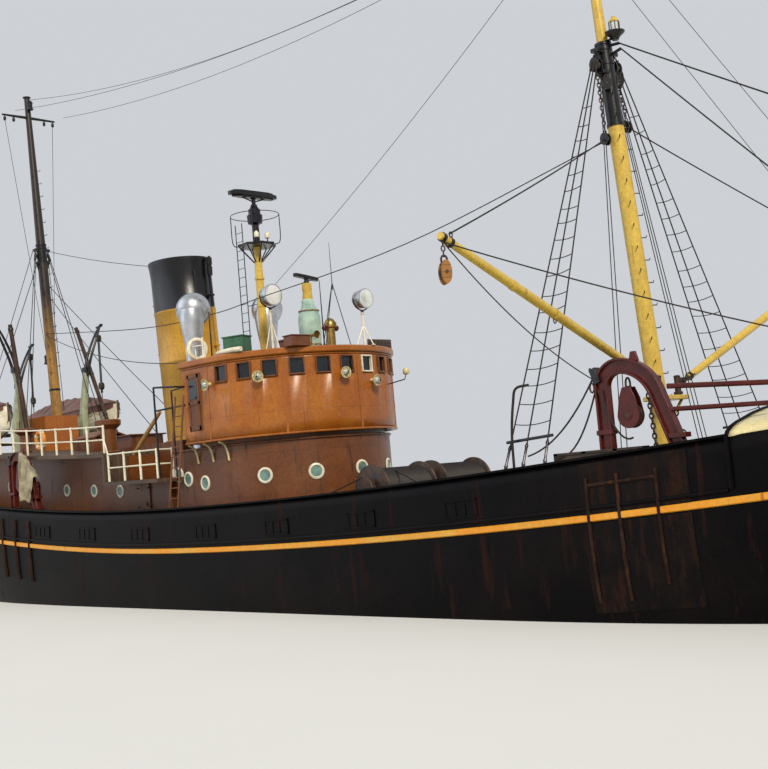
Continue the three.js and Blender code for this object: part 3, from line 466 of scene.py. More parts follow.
# A flat outline pushed out between two heights of the place's own z
def addPrism(bm, outline, low, high, place=None, finish=0):
    rings = []
    for height in (low, high):
        points = [Vector((x, y, height)) for x, y in outline]
        rings.append([bm.verts.new(place @ p if place else p) for p in points])
    addSkin(bm, rings, finish)


def at(x, y, z, turnZ=0, tiltX=0, tiltY=0):
    spin = Matrix.Rotation(math.radians(turnZ), 4, "Z")
    tilt = Matrix.Rotation(math.radians(tiltX), 4, "X") @ Matrix.Rotation(math.radians(tiltY), 4, "Y")
    return Matrix.Translation((x, y, z)) @ spin @ tilt


upright = Matrix.Rotation(math.pi / 2, 4, "X")


def pointing(place, direction):
    return Matrix.Translation(place) @ Vector(direction).to_track_quat("Z", "Y").to_matrix().to_4x4()


def makePiece(name, bm, finishNames, body="root", nodes=(), sharp=35, bevel=0, thick=0,
              bend=None):
    if not thick:
        bmesh.ops.recalc_face_normals(bm, faces=bm.faces)
    bmesh.ops.scale(bm, vec=(modelScale,) * 3, verts=bm.verts)
    mesh = bpy.data.meshes.new(name)
    bm.to_mesh(mesh)
    bm.free()
    for finish in finishNames:
        mesh.materials.append(finishes[finish])
    mesh.polygons.foreach_set("use_smooth", [True] * len(mesh.polygons))
    mesh.set_sharp_from_angle(angle=math.radians(sharp))
    piece = bpy.data.objects.new(name, mesh)
    bpy.context.scene.collection.objects.link(piece)
    if thick:
        skin = piece.modifiers.new("thickness", "SOLIDIFY")
        skin.thickness = thick * modelScale
        skin.offset = -1
    if bevel:
        edge = piece.modifiers.new("softEdges", "BEVEL")
        edge.width = bevel * modelScale
        edge.segments = 2
        edge.limit_method = "ANGLE"
    if bend:
        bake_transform(piece)
    else:
        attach(piece, body)
    if nodes:
        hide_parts(*nodes)
    return piece


def smoothRun(low, high, count):
    return [low + (high - low) * k / (count - 1) for k in range(count)]


def through(points, steps=8):
    points = [Vector(p) for p in points]
    ends = [2 * points[0] - points[1], *points, 2 * points[-1] - points[-2]]
    curve = [points[0]]
    for a, b, c, d in zip(ends, ends[1:], ends[2:], ends[3:]):
        for k in range(1, steps + 1):
            t = k / steps
            bent = (2 * a - 5 * b + 4 * c - d) * t ** 2 + (3 * b - a - 3 * c + d) * t ** 3
            curve.append(0.5 * (2 * b + (c - a) * t + bent))
    return curve


def upBy(height):
    return Vector((0, 0, height))


def circled(centre, across, up, count):
    turns = [2 * math.pi * k / count for k in range(count)]
    return [Vector(centre) + math.cos(t) * Vector(across) + math.sin(t) * Vector(up) for t in turns]


def addHoop(bm, centre, across, up, count, radius, sides=6, finish=0):
    addTube(bm, circled(centre, across, up, count), radius, sides, finish, loop=True)


def sagging(a, b, drop, steps=10):
    a, b = Vector(a), Vector(b)
    return [a.lerp(b, k / steps) - upBy(drop * 4 * (k / steps) * (1 - k / steps)) for k in range(steps + 1)]


# Hull lines, as the frame has them
ship = {
    "halfBeam": 4.575, "bowX": 27.0, "sternX": -26.9, "lowestDeck": 1.97, "lowestDeckX": -3,
    "sheerForward": 0.0019, "sheerAft": 0.0038, "bowLift": 0.0006, "bowLiftX": 16, "parallelForward": 8,
    "parallelAft": -10, "bulwark": 1.0, "mastRake": 0.0621,
}
stations = [
    (-26.6, 2.15, 1.6, 1.8), (-25.9, 1.2, 1.6, 1.8), (-24.6, 0.15, 1.7, 1.8), (-23.0, -0.85, 1.7, 1.7),
    (-20.5, -1.9, 1.8, 1.7), (-17.0, -3.1, 2.0, 1.8), (-13.0, -4.0, 2.4, 2.3), (-8.5, -4.3, 3.0, 3.0),
    (-2.0, -4.1, 3.0, 3.0), (4.0, -3.9, 3.0, 3.0), (9.0, -3.75, 2.7, 2.8), (12.5, -3.6, 2.4, 2.4),
    (15.4, -3.5, 2.0, 2.0), (18.0, -3.4, 1.6, 1.6), (20.5, -3.3, 1.3, 1.2), (22.6, -2.7, 1.15, 0.95),
    (24.4, -0.95, 1.05, 0.85), (25.7, 1.7, 1.0, 0.85), (26.7, 3.95, 1.0, 0.9),
]


def sheerAt(x):
    rise = ship["sheerForward"] if x > ship["lowestDeckX"] else ship["sheerAft"]
    lift = ship["bowLift"] * max(0, x - ship["bowLiftX"]) ** 3
    return ship["lowestDeck"] + rise * (x - ship["lowestDeckX"]) ** 2 + lift


def edgeAt(x):
    if x > ship["parallelForward"]:
        t = min(1, (x - ship["parallelForward"]) / (ship["bowX"] - ship["parallelForward"]))
        return ship["halfBeam"] * (1 - t ** 2.6) ** 0.9
    if x < ship["parallelAft"]:
        t = min(1, (ship["parallelAft"] - x) / (ship["parallelAft"] - ship["sternX"]))
        return ship["halfBeam"] * (1 - t ** 4) ** 0.5
    return ship["halfBeam"]


def alongStations(x, value):
    for (a, *_), (b, *_) in zip(stations, stations[1:]):
        if x <= b:
            t = max(0, (x - a) / (b - a))
            return value(a) * (1 - t) + value(b) * t
    return value(stations[-1][0])


def deckAt(x):
    return alongStations(x, sheerAt)


def stationValue(x, column):
    xs = [s[0] for s in stations]
    ys = [s[column] for s in stations]
    slopes = [(ys[k + 1] - ys[k]) / (xs[k + 1] - xs[k]) for k in range(len(xs) - 1)]
    tangents = [slopes[0]]
    for a, b in zip(slopes, slopes[1:]):
        tangents.append(2 * a * b / (a + b) if a * b > 0 else 0)
    tangents.append(slopes[-1])
    k = max(0, min(len(xs) - 2, sum(1 for value in xs if value < x) - 1))
    h = xs[k + 1] - xs[k]
    t = (x - xs[k]) / h
    if t > 1 or t < 0:
        edge = 0 if t < 0 else k + 1
        return ys[edge] + tangents[edge] * (x - xs[edge])
    return (
        (2 * t ** 3 - 3 * t ** 2 + 1) * ys[k] + (t ** 3 - 2 * t ** 2 + t) * h * tangents[k]
        + (3 * t ** 2 - 2 * t ** 3) * ys[k + 1] + (t ** 3 - t ** 2) * h * tangents[k + 1]
    )


def hullPoint(x, share, side):
    keel, foot, fullness = (stationValue(x, column) for column in (1, 2, 3))
    breadth = edgeAt(x) * (1 - (1 - share) ** foot) ** (1 / fullness)
    return Vector((x, side * max(breadth, 0.06), keel + share * (sheerAt(x) - keel)))


def sideAt(x, z, side):
    keel, foot, fullness = (stationValue(x, column) for column in (1, 2, 3))
    share = (z - keel) / (sheerAt(x) - keel)
    if share >= 1:
        return side * edgeAt(x)
    return hullPoint(x, max(share, 0), side).y


# Hull plating with the bulwark as one skin, thickened inwards
hullPlating = {
    "stations": 150, "aft": -26.86, "fore": 26.9, "heights": 22, "thick": 0.08, "whalebackX": 15.4,
}
hullRun = [
    hullPlating["aft"] + (hullPlating["fore"] - hullPlating["aft"]) * (0.5 - 0.5 * math.cos(math.pi * share))
    for share in smoothRun(0, 1, hullPlating["stations"])
]
bm = bmesh.new()
rings = []
for x in hullRun:
    shares = [(k / hullPlating["heights"]) ** 1.3 for k in range(hullPlating["heights"] + 1)]
    ring = []
    for side in (-1, 1):
        half = [hullPoint(x, share, side) for share in shares]
        flare = 0.05 if x > hullPlating["whalebackX"] else 0
        for up in (0.35, 0.7, 1.0):
            half.append(Vector((x, side * (edgeAt(x) + flare * up), sheerAt(x) + up * ship["bulwark"])))
        ring += reversed(half) if side < 0 else half
    rings.append([bm.verts.new(p) for p in ring])
addSkin(bm, rings, 0, closed=False)
bm.faces.new(list(reversed(rings[0])))
makePiece("hullPlating", bm, ["blackHullPaint"], nodes=["hull", "bulwark"], sharp=50,
          thick=hullPlating["thick"])

# Weather deck inside the bulwark
bm = bmesh.new()
rows = []
for x in hullRun[2:-6]:
    half = edgeAt(x) - 0.07
    rows.append([bm.verts.new((x, half * k / 8, deckAt(x) + 0.004)) for k in range(-8, 9)])
addSkin(bm, rows, 0, closed=False)
makePiece("weatherDeck", bm, ["deckPlanking"])


# Outline of the deck edge from the whaleback round the stern
def edgePath(fore, steps=110):
    aft = hullPlating["aft"]
    xs = [fore + (aft - fore) * math.sin(math.pi / 2 * k / steps) for k in range(steps + 1)]
    plan = [Vector((x, -edgeAt(x), 0)) for x in xs] + [Vector((x, edgeAt(x), 0)) for x in reversed(xs)]
    path = []
    for k, point in enumerate(plan):
        along = (plan[min(k + 1, len(plan) - 1)] - plan[max(k - 1, 0)]).normalized()
        inward = Vector((along.y, -along.x, 0))
        if inward.dot(Vector((point.x * 0.8, 0, 0)) - point) < 0:
            inward = -inward
        path.append((point, inward))
    return path


def addEdgeBar(bm, path, section):
    rings = []
    for point, inward in path:
        base = sheerAt(point.x)
        rings.append([bm.verts.new(point + inward * into + upBy(base + up)) for into, up in section])
    addSkin(bm, rings, 0)


capRail = {"outside": -0.06, "inside": 0.14, "low": 1.0, "top": 1.05}
bm = bmesh.new()
low, top = capRail["low"], capRail["top"]
outer, inner = capRail["outside"], capRail["inside"]
addEdgeBar(bm, edgePath(hullPlating["whalebackX"]), [(outer, low), (inner, low), (inner, top), (outer, top)])
stays = {"from": -24.5, "to": 15, "pitch": 1.25, "reach": 0.45, "thick": 0.03}
for side in (-1, 1):
    x = stays["from"]
    while x < stays["to"]:
        y = side * (edgeAt(x) - 0.07)
        deck = deckAt(x)
        outline = [(0, 0.95), (0, 0), (stays["reach"], 0), (0.1, 0.95)]
        points = [
            [Vector((x + shift, y - side * into, deck + up)) for into, up in outline]
            for shift in (-stays["thick"] / 2, stays["thick"] / 2)
        ]
        addSkin(bm, [[bm.verts.new(p) for p in ring] for ring in points], 0)
        x += stays["pitch"]
makePiece("capRailAndStays", bm, ["blackHullPaint"], bevel=0.01)

# Yellow line along the deck edge, a shallow moulding broken by the chafing bars
yellowLine = {"low": -0.3, "high": -0.15, "proud": 0.03}
bm = bmesh.new()
for side in (-1, 1):
    rings = []
    for x in hullRun[4:-3]:
        ring = []
        for up, out in (
            (yellowLine["low"], 0.0), (yellowLine["low"] + 0.02, yellowLine["proud"]),
            (yellowLine["high"] - 0.02, yellowLine["proud"]), (yellowLine["high"], 0.0),
        ):
            z = sheerAt(x) + up
            ring.append(bm.verts.new((x, sideAt(x, z, side) + side * (out + 0.004), z)))
        rings.append(ring)
    addSkin(bm, rings, 0, closed=False)
makePiece("yellowLine", bm, ["yellowLinePaint"])

# Whaleback: turtle back over the fore deck, cream above the knuckle
whaleback = {"from": 15.4, "to": 26.92, "thick": 0.1, "flare": 0.05, "lip": 0.045, "crown": 1.7}
turtle = [
    (1.0, 1.0), (0.985, 1.08), (0.95, 1.17), (0.9, 1.245), (0.84, 1.31), (0.76, 1.4), (0.66, 1.48),
    (0.55, 1.55), (0.42, 1.62), (0.28, 1.665), (0.14, 1.69), (0, 1.7),
]


def turtleAt(x, flared):
    half = [Vector((x, -out * flared, sheerAt(x) + up)) for out, up in turtle]
    return half + [Vector((p.x, -p.y, p.z)) for p in reversed(half[:-1])]


bm = bmesh.new()
rings = []
for x in smoothRun(whaleback["from"], whaleback["to"], 70):
    rings.append([bm.verts.new(p) for p in reversed(turtleAt(x, edgeAt(x) + whaleback["flare"]))])
addSkin(bm, rings, 0, closed=False)
makePiece("turtleBack", bm, ["creamPaint"], nodes=["whaleback"], sharp=50, thick=whaleback["thick"])

bm = bmesh.new()
x = whaleback["from"] - 0.02
addTube(bm, turtleAt(x, edgeAt(x) + whaleback["flare"]), whaleback["lip"], 8)
for side in (-1, 1):
    low = (x, side * (edgeAt(x) + 0.03), deckAt(x))
    addTube(bm, [low, (x, side * (edgeAt(x) + whaleback["flare"]), sheerAt(x) + 1)], whaleback["lip"], 8)
makePiece("whalebackLip", bm, ["blackHullPaint"])

# Stem bar from the forefoot to the head
bm = bmesh.new()
stem = [
    (22.2, -2.9), (23.5, -2.0), (24.5, -0.8), (25.3, 0.8), (25.9, 2.2), (26.6, 3.8), (26.95, 5.0),
    (27.1, 6.4),
]
addTube(bm, through([(x, 0, z) for x, z in stem], 6), 0.09, 10)
makePiece("stemBar", bm, ["blackHullPaint"])

# Keel, stern frame and shaft boss below the water
bm = bmesh.new()
keel = [
    (20.5, -3.2), (20.5, -3.5), (-23.2, -5.0), (-24.3, -5.0), (-24.3, -4.75), (-23.2, -4.75), (-22.75, -4.6),
    (-21.45, -4.6), (-21.45, -1.7), (-14, -3.2),
]
addPrism(bm, keel, -0.15, 0.15, upright)
addTube(bm, [(-22.7, 0, -0.3), (-22.95, 0, -4.7)], 0.12, 10)
addTube(bm, [(-21.47, 0, -2.9), (-19.5, 0, -2.9)], [0.3, 0.5], 20)
makePiece("keelAndSternFrame", bm, ["blackHullPaint"], bevel=0.02)
print("hull plated")


# Wheelhouse: steel walls with the window openings cut, straight sides and a round front
bridge = {
    "centreX": -2.8, "backX": -3.95, "radius": 3.34, "skirt": 4.9, "head": 7.27, "roof": 7.47,
    "wall": 0.12, "eaves": 0.1, "doorFrom": -3.72, "doorTo": -3.02, "doorLow": 5.3, "doorHigh": 7.05,
}
windows = {
    "count": 12, "width": 0.42, "low": 6.68, "top": 7.14, "pitch": 13.91, "frame": 0.032,
    "paintedWhite": (6, 10), "lowered": 8,
}
windowAngles = [(k - (windows["count"] - 1) / 2) * windows["pitch"] for k in range(windows["count"])]
windowHalf = math.degrees(windows["width"] / 2 / bridge["radius"])


def wallPoint(angle, radius, z):
    a = math.radians(angle)
    return Vector((bridge["centreX"] + radius * math.cos(a), radius * math.sin(a), z))


def bridgeOutline(radius, backX, step=3):
    arc = [wallPoint(a, radius, 0) for a in range(-90, 91, step)]
    return [(backX, radius), (backX, -radius)] + [(p.x, p.y) for p in arc]


cuts = sorted({a + s * windowHalf for a in windowAngles for s in (-1, 1)} | set(range(-90, 91, 3)))
cuts = [a for a in cuts if not any(abs(a - w) < windowHalf - 0.01 for w in windowAngles)]
cuts = [a for k, a in enumerate(cuts) if k == 0 or a - cuts[k - 1] > 0.2 or a == 90]
r = bridge["radius"]
walk = [(bridge["backX"], r), (bridge["backX"], -r), (bridge["doorFrom"], -r), (bridge["doorTo"], -r)]
walk += [(wallPoint(a, r, 0).x, wallPoint(a, r, 0).y) for a in cuts]
walk += [(bridge["doorTo"], r), (bridge["doorFrom"], r)]
levels = [bridge["skirt"], bridge["doorLow"], windows["low"], bridge["doorHigh"], windows["top"],
          bridge["head"]]


def isOpen(a, b, low, high):
    middle = Vector(((a[0] + b[0]) / 2, (a[1] + b[1]) / 2))
    if bridge["doorFrom"] < middle.x < bridge["doorTo"] and abs(middle.y) > 3.2:
        return bridge["doorLow"] <= low and high <= bridge["doorHigh"]
    angle = math.degrees(math.atan2(middle.y, middle.x - bridge["centreX"]))
    inWindow = middle.x > bridge["centreX"] and any(abs(angle - w) < windowHalf - 0.05 for w in windowAngles)
    return inWindow and windows["low"] <= low and high <= windows["top"]


bm = bmesh.new()
grid = [[bm.verts.new((x, y, z)) for z in levels] for x, y in walk]
for k in range(len(walk)):
    nextK = (k + 1) % len(walk)
    for row in range(len(levels) - 1):
        if not isOpen(walk[k], walk[nextK], levels[row], levels[row + 1]):
            bm.faces.new([grid[k][row], grid[nextK][row], grid[nextK][row + 1], grid[k][row + 1]])
for vert in [v for v in bm.verts if not v.link_faces]:
    bm.verts.remove(vert)
makePiece("bridgeWall", bm, ["orangeBrownPaint"], nodes=["wheelhouse_wall"], thick=bridge["wall"])

bm = bmesh.new()
outline = bridgeOutline(r + bridge["eaves"], bridge["backX"] - bridge["eaves"])
addPrism(bm, outline, bridge["head"] + 0.002, bridge["roof"])
makePiece("bridgeRoof", bm, ["orangeBrownPaint"], nodes=["wheelhouse_roof"], bevel=0.045)

# Mouldings round the wheelhouse: under the eaves, at the skirt, and the upright plate laps
bm = bmesh.new()
for level, radius in ((bridge["head"] - 0.03, 0.03), (bridge["skirt"] + 0.03, 0.035)):
    outline = bridgeOutline(r + 0.01, bridge["backX"] - 0.01)
    addTube(bm, [(x, y, level) for x, y in outline], radius, 8, loop=True)
for angle in (-87, -41.7, 0, 41.7, 87):
    place = at(*wallPoint(angle, r + 0.004, 0), turnZ=angle)
    addBox(bm, (-0.01, -0.035, bridge["skirt"]), (0.012, 0.035, bridge["head"]), place=place)
makePiece("bridgeMouldings", bm, ["orangeBrownPaint"])

# Sliding windows: dark varnished frames, salted glass set back in the opening
bm = bmesh.new()
half, tall, bar = windows["width"] / 2, (windows["top"] - windows["low"]) / 2, windows["frame"]
for k, angle in enumerate(windowAngles):
    place = at(*wallPoint(angle, r, windows["low"] + tall), turnZ=angle)
    for low, top in (
        ((-0.1, -half - bar, tall - 0.01), (0.035, half + bar, tall + bar)),
        ((-0.1, -half - bar, -tall - bar), (0.05, half + bar, -tall + 0.01)),
        ((-0.1, -half - bar, -tall), (0.035, -half + 0.01, tall)),
        ((-0.1, half - 0.01, -tall), (0.035, half + bar, tall)),
    ):
        addBox(bm, low, top, 2 if k in windows["paintedWhite"] else 0, place)
    drop = 0.16 if k == windows["lowered"] else 0
    addBox(bm, (-0.075, -half, -tall), (-0.06, half, tall - drop), 1, place)
    if drop:
        addBox(bm, (-0.09, -half, tall - drop - 0.03), (-0.045, half, tall - drop), 0, place)
makePiece("bridgeWindows", bm, ["darkBrownPaint", "windowGlass", "whitePaint"],
          bevel=0.008)

# Bridge house under it, with portholes, brackets and a steel door each side
house = {
    "half": 2.95, "backX": -5.35, "centreX": -2.6, "foot": 1.98, "top": 4.75, "upperBackX": -3.8,
    "upperCentreX": -2.8, "upperTop": 5.15,
}


def houseOutline(backX, centreX, half=house["half"]):
    turns = [math.radians(a) for a in range(-90, 91, 4)]
    arc = [(centreX + half * math.cos(a), half * math.sin(a)) for a in turns]
    return [(backX, half), (backX, -half)] + arc


bm = bmesh.new()
addPrism(bm, houseOutline(house["backX"], house["centreX"]), house["foot"], house["top"])
addPrism(bm, houseOutline(house["upperBackX"], house["upperCentreX"]), house["top"] - 0.02,
         house["upperTop"])
rim = [(x, y, house["top"]) for x, y in houseOutline(house["backX"], house["centreX"], 2.97)]
addTube(bm, rim, 0.04, 8, loop=True)
makePiece("bridgeHousePlating", bm, ["darkBrownPaint"], nodes=["bridge_house"], bevel=0.02)


def addPorthole(bm, place, radius=0.17):
    ring = [(0.075, 0), (0.07, 0.025), (0.02, 0.04), (0, 0.03), (0, 0.01)]
    addTurned(bm, [(radius + grow, z) for grow, z in ring], place, 24, 0)
    addTurned(bm, [(radius + 0.01, 0.0), (radius + 0.005, 0.012), (0, 0.014)], place, 24, 1)


portholes = {
    "side": [(-3.65, 3.68), (-4.55, 3.85), (-5.05, 4.02)], "front": [-60, -30, 0, 30, 60], "frontZ": 3.75,
    "casing": (-8.4, -10.1, -12.0, -16.3, -19.5),
}
bm = bmesh.new()
for side in (-1, 1):
    for x, z in portholes["side"]:
        addPorthole(bm, at(x, side * house["half"], z, tiltX=-90 * side))
for angle in portholes["front"]:
    a = math.radians(angle)
    spot = (house["centreX"] + house["half"] * math.cos(a), house["half"] * math.sin(a), portholes["frontZ"])
    addPorthole(bm, at(*spot, turnZ=angle, tiltY=90))
for side in (-1, 1):
    for x in portholes["casing"]:
        addPorthole(bm, at(x, side * min(3.1, edgeAt(x) - 1.0), deckAt(x) + 1.6, tiltX=-90 * side), 0.15)
makePiece("portholes", bm, ["whitePaint", "portholeGlass"])

# Steel doors in the casing and house sides, with their dogs and sills
bm = bmesh.new()
for side in (-1, 1):
    for x, doorY in ((-6.9, 3.1), (-14.4, 3.1), (-18.2, 2.95)):
        place = at(x, side * min(doorY, edgeAt(x) - 1.0), deckAt(x) + 0.25, tiltX=-90 * side)
        sign = -side
        outline = [(-0.36, 0.1), (-0.26, 0), (0.26, 0), (0.36, 0.1), (0.36, 1.5), (0.26, 1.6), (-0.26, 1.6),
                   (-0.36, 1.5)]
        addPrism(bm, [(a, sign * b) for a, b in outline], 0, 0.05, place)
        for k in range(6):
            a, b = (-0.33 if k % 2 else 0.33), 0.2 + 0.6 * (k // 2)
            addBox(bm, (a - 0.09, sign * b - 0.02, 0.05), (a + 0.05, sign * b + 0.02, 0.09), 1, place)
        handle = [place @ Vector((0.2, sign * y, z)) for y, z in ((0.8, 0.05), (0.95, 0.1))]
        addTube(bm, handle, 0.02, 6, 1)
makePiece("steelDoors", bm, ["darkBrownPaint", "greasedIron"], bevel=0.015)

# Curved brackets that carry the wings of the wheelhouse floor
bm = bmesh.new()
for side in (-1, 1):
    for x in (-3.9, -3.1, -2.3):
        curve = [(x, side * y, z) for y, z in ((2.97, 4.3), (3.02, 4.6), (3.12, 4.78), (3.3, 4.88))]
        addTube(bm, through(curve, 4), 0.035, 6)
makePiece("wingBrackets", bm, ["creamPaint"])

# Wheelhouse doors: painted, with a glazed light, rails and a brass handle
for word, side in bothSides.items():
    bm = bmesh.new()
    low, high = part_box(f"wheelhouse_door_{word}")
    low, high = low / modelScale, high / modelScale
    addBox(bm, low, high, 0)
    face = side * (bridge["radius"] + 0.005)
    y0, y1 = sorted((face, face + side * 0.02))
    left, right = low.x + 0.05, high.x - 0.05
    for x0, x1, z0, z1 in (
        (left, left + 0.08, low.z, high.z), (right - 0.08, right, low.z, high.z),
        (left, right, low.z, low.z + 0.14), (left, right, 6.1, 6.2), (left, right, high.z - 0.12, high.z),
    ):
        addBox(bm, (x0, y0, z0), (x1, y1, z1), 0)
    addBox(bm, (low.x + 0.14, y0, 6.28), (high.x - 0.14, y1 - 0.004, high.z - 0.18), 1)
    grip = [(0.07, 0.02, 6.05), (0.07, 0.06, 6.08), (0.18, 0.06, 6.08)]
    addTube(bm, [(low.x + x, face + side * out, z) for x, out, z in grip], 0.014, 6, 2)
    makePiece(f"bridgeDoor_{word}", bm, ["darkBrownPaint", "windowGlass", "dullBrass"], body=f"door_{word}",
              nodes=[f"wheelhouse_door_{word}"], bevel=0.006)
print("wheelhouse built")

# Funnel: riveted oval casing, open top with a rim band, straps and steam pipes
stack = {"x": -8.47, "top": 11.7, "foot": 5.201, "long": 1.24, "wide": 1.0, "rake": 0.06, "sides": 48}


def stackX(z):
    return stack["x"] + (stack["top"] - z) * stack["rake"]


def stackRing(bm, z, grow):
    ring = circled((stackX(z), 0, z), (stack["long"] + grow, 0, 0), (0, stack["wide"] + grow, 0),
                   stack["sides"])
    return [bm.verts.new(p) for p in ring]


bm = bmesh.new()
outside = [
    (stack["foot"], 0.06), (5.3, 0.06), (5.32, 0.0), (8.0, 0.0), (8.02, 0.015), (8.08, 0.015), (8.1, 0.0),
    (9.8, 0.0), (9.82, 0.02), (9.9, 0.02), (9.92, 0.0), (11.1, 0.0), (11.3, 0.012), (11.48, 0.03),
    (11.6, 0.05), (11.7, 0.05),
]
inside = [(11.7, -0.03), (11.2, -0.06), (10.4, -0.12), (9.9, -0.14)]
addSkin(bm, [stackRing(bm, z, grow) for z, grow in outside + inside], 0, ends=False)
bm.faces.new(list(reversed(stackRing(bm, 9.95, -0.13))))
makePiece("funnelCasing", bm, ["buffFunnelPaint"], nodes=["funnel"], sharp=50)

bm = bmesh.new()
for side in (-1, 1):  # whistle and waste-steam pipes up the fore and after sides
    for shift, top, radius in ((1.31, 11.2, 0.05), (-1.35, 11.5, 0.06)):
        addTube(bm, [(stackX(z) + shift, side * 0.3, z) for z in (5.25, 7, 9, 10.5, top)], radius, 10)
        for z in (6.5, 8.5, 10.3):
            x = stackX(z) + shift
            addBox(bm, (x - (0.13 if shift > 0 else 0.07), side * 0.3 - 0.08, z - 0.03),
                   (x + (0.13 if shift < 0 else 0.07), side * 0.3 + 0.08, z + 0.03))
makePiece("funnelPipes", bm, ["buffFunnelPaint"])
bm = bmesh.new()
addTurned(bm, [(0.09, 0), (0.1, 0.3), (0.07, 0.34), (0.1, 0.4), (0.1, 0.62), (0.03, 0.7)],
          at(stack["x"] + 1.34 + 0.05, 0.3, 11.0), 16)
makePiece("steamWhistle", bm, ["blackIronPaint"])

# Cowl ventilators, on the bodies that turn them
cowls = {
    "starboard": {"x": -4.92, "y": -2.13, "mouth": 9.4, "radius": 0.56},
    "port": {"x": -4.95, "y": 0.98, "mouth": 9.52, "radius": 0.53},
}
cowlTurn = 136.4  # the mouths face aft and to port
for word, cowl in cowls.items():
    bm = bmesh.new()
    radius = cowl["radius"]
    trunk = 0.25
    place = at(cowl["x"], cowl["y"], 0)
    shaft = [
        (trunk + 0.08, 4.752), (trunk + 0.08, 4.8), (trunk, 4.85), (trunk, 6.8), (trunk + 0.03, 6.81),
        (trunk + 0.03, 6.9), (trunk, 6.91), (trunk, 7.7), (0.29, 8.3), (0.36, 8.75),
        (0.41, cowl["mouth"] - 0.3), (0.36, cowl["mouth"] - 0.05),
    ]
    addTurned(bm, shaft, place, 28)
    facing = math.radians(cowlTurn)
    ahead = Vector((math.cos(facing), math.sin(facing), 0))
    mouth = Vector((cowl["x"], cowl["y"], cowl["mouth"])) + trunk * ahead
    bell = [
        (0, -0.5), (0.14, -0.49), (0.28, -0.44), (0.4, -0.34), (0.48, -0.2), (0.52, -0.02),
        (radius - 0.02, 0.13), (radius, 0.16), (radius + 0.015, 0.19), (radius, 0.21), (radius - 0.03, 0.2),
        (radius - 0.06, 0.12), (0.46, -0.05), (0.4, -0.2), (0.28, -0.32), (0, -0.38),
    ]
    addTurned(bm, bell, pointing(mouth, ahead), 36)
    for turn in (0, 120, 240):  # stiffening beads over the back of the bell
        spin = Matrix.Rotation(math.radians(turn), 4, "Z")
        bead = [pointing(mouth, ahead) @ spin @ Vector((r, 0, z)) for r, z in bell[1:8]]
        addTube(bm, bead, 0.012, 6)
    makePiece(f"cowl_{word}_bell", bm, ["aluminiumPaint"], body=f"cowl_{word}", nodes=[f"cowl_{word}"],
              sharp=60)
print("funnel and cowls built")

# Pole masts of pitch pine, painted buff, with iron bands and hounds
masts = {
    "foremast": {
        "x": 11.206, "heel": 2.0, "head": 13.6, "top": 18.0, "hounds": 13.36, "houndsOut": 0.42,
        "thick": 0.22, "neck": 0.195, "topmast": 0.145, "thin": 0.09, "blackFrom": 11.53, "blackTo": 13.58,
    },
    "mizzen": {
        "x": -17.813, "heel": 7.052, "head": 14.3, "top": 20.83, "hounds": 14.05, "houndsOut": 0.34,
        "thick": 0.22, "neck": 0.205, "topmast": 0.19, "thin": 0.11, "blackFrom": 13.6, "blackTo": 14.5,
    },
}


def mastX(mast, z):
    return mast["x"] - (z - 3) * ship["mastRake"]


def onMast(mast, z, out=0, y=0):
    return Vector((mastX(mast, z) + out, y, z))


def mastRadius(mast, z):
    if z < mast["head"]:
        return mast["thick"] + (mast["neck"] - mast["thick"]) * (z - 3) / (mast["head"] - 3)
    share = (z - mast["head"]) / (mast["top"] - mast["head"])
    return mast["topmast"] + (mast["thin"] - mast["topmast"]) * share


for name, finish in (("foremast", "buffMastPaint"), ("mizzen", "smokedMastPaint")):
    mast = masts[name]
    bm = bmesh.new()
    spans = [(mast["heel"], mast["blackFrom"], 0),
             (mast["blackFrom"], min(mast["blackTo"], mast["head"]), 1)]
    if mast["blackTo"] < mast["head"]:
        spans.append((mast["blackTo"], mast["head"], 0))
    for low, high, slot in spans:
        radii = [mastRadius(mast, low), mastRadius(mast, high - 0.01)]
        addTube(bm, [onMast(mast, low), onMast(mast, high)], radii, 28, slot)
    cap = mast["head"]
    addTube(bm, [onMast(mast, cap - 0.02), onMast(mast, cap + 0.05)], mast["neck"] + 0.02, 28, 1)
    topmast = [onMast(mast, cap + 0.04), onMast(mast, mast["top"])]
    addTube(bm, topmast, [mast["topmast"], mast["thin"]], 20, 0)
    truck = [(mast["thin"] + 0.05, 0), (mast["thin"] + 0.06, 0.04), (0.03, 0.09)]
    addTurned(bm, truck, at(*onMast(mast, mast["top"] - 0.05)), 20, 1)
    for z in (mast["heel"] + 1.1, mast["blackFrom"], mast["hounds"] - 0.25, mast["head"] - 0.12):
        addTube(bm, [onMast(mast, z - 0.04), onMast(mast, z + 0.04)], mastRadius(mast, z) + 0.018, 28, 1)
    wide = mast["houndsOut"]
    for level in (mast["hounds"], mast["hounds"] - 0.55):  # hounds cheeks and the band the rigging hooks on
        centre = onMast(mast, level)
        addBox(bm, (-0.11, -wide, 0), (0.11, wide, 0.1), 1, at(*centre))
        for side in (-1, 1):
            outer = centre + Vector((0, side * wide, 0.05))
            addTube(bm, [outer, centre + Vector((0, side * 0.18, -0.3))], 0.03, 8, 1)
        wide *= 0.82
    makePiece(f"{name}Pole", bm, [finish, "blackIronPaint"], nodes=[name], sharp=40)

# Climbing studs up the front of each mast
bm = bmesh.new()
for name, low, high in (("foremast", 4.6, 13.2), ("mizzen", 9.0, 17.5)):
    mast = masts[name]
    z = low
    while z < high:
        radius = mastRadius(mast, z)
        for sign in (-1, 1):
            start = onMast(mast, z + 0.14 * sign, radius * 0.7, sign * radius * 0.6)
            stud = [start, start + Vector((0.08, sign * 0.1, 0)), start + Vector((0.09, sign * 0.1, 0.05))]
            addTube(bm, stud, 0.014, 6)
        z += 0.56
makePiece("climbingStuds", bm, ["blackIronPaint"])

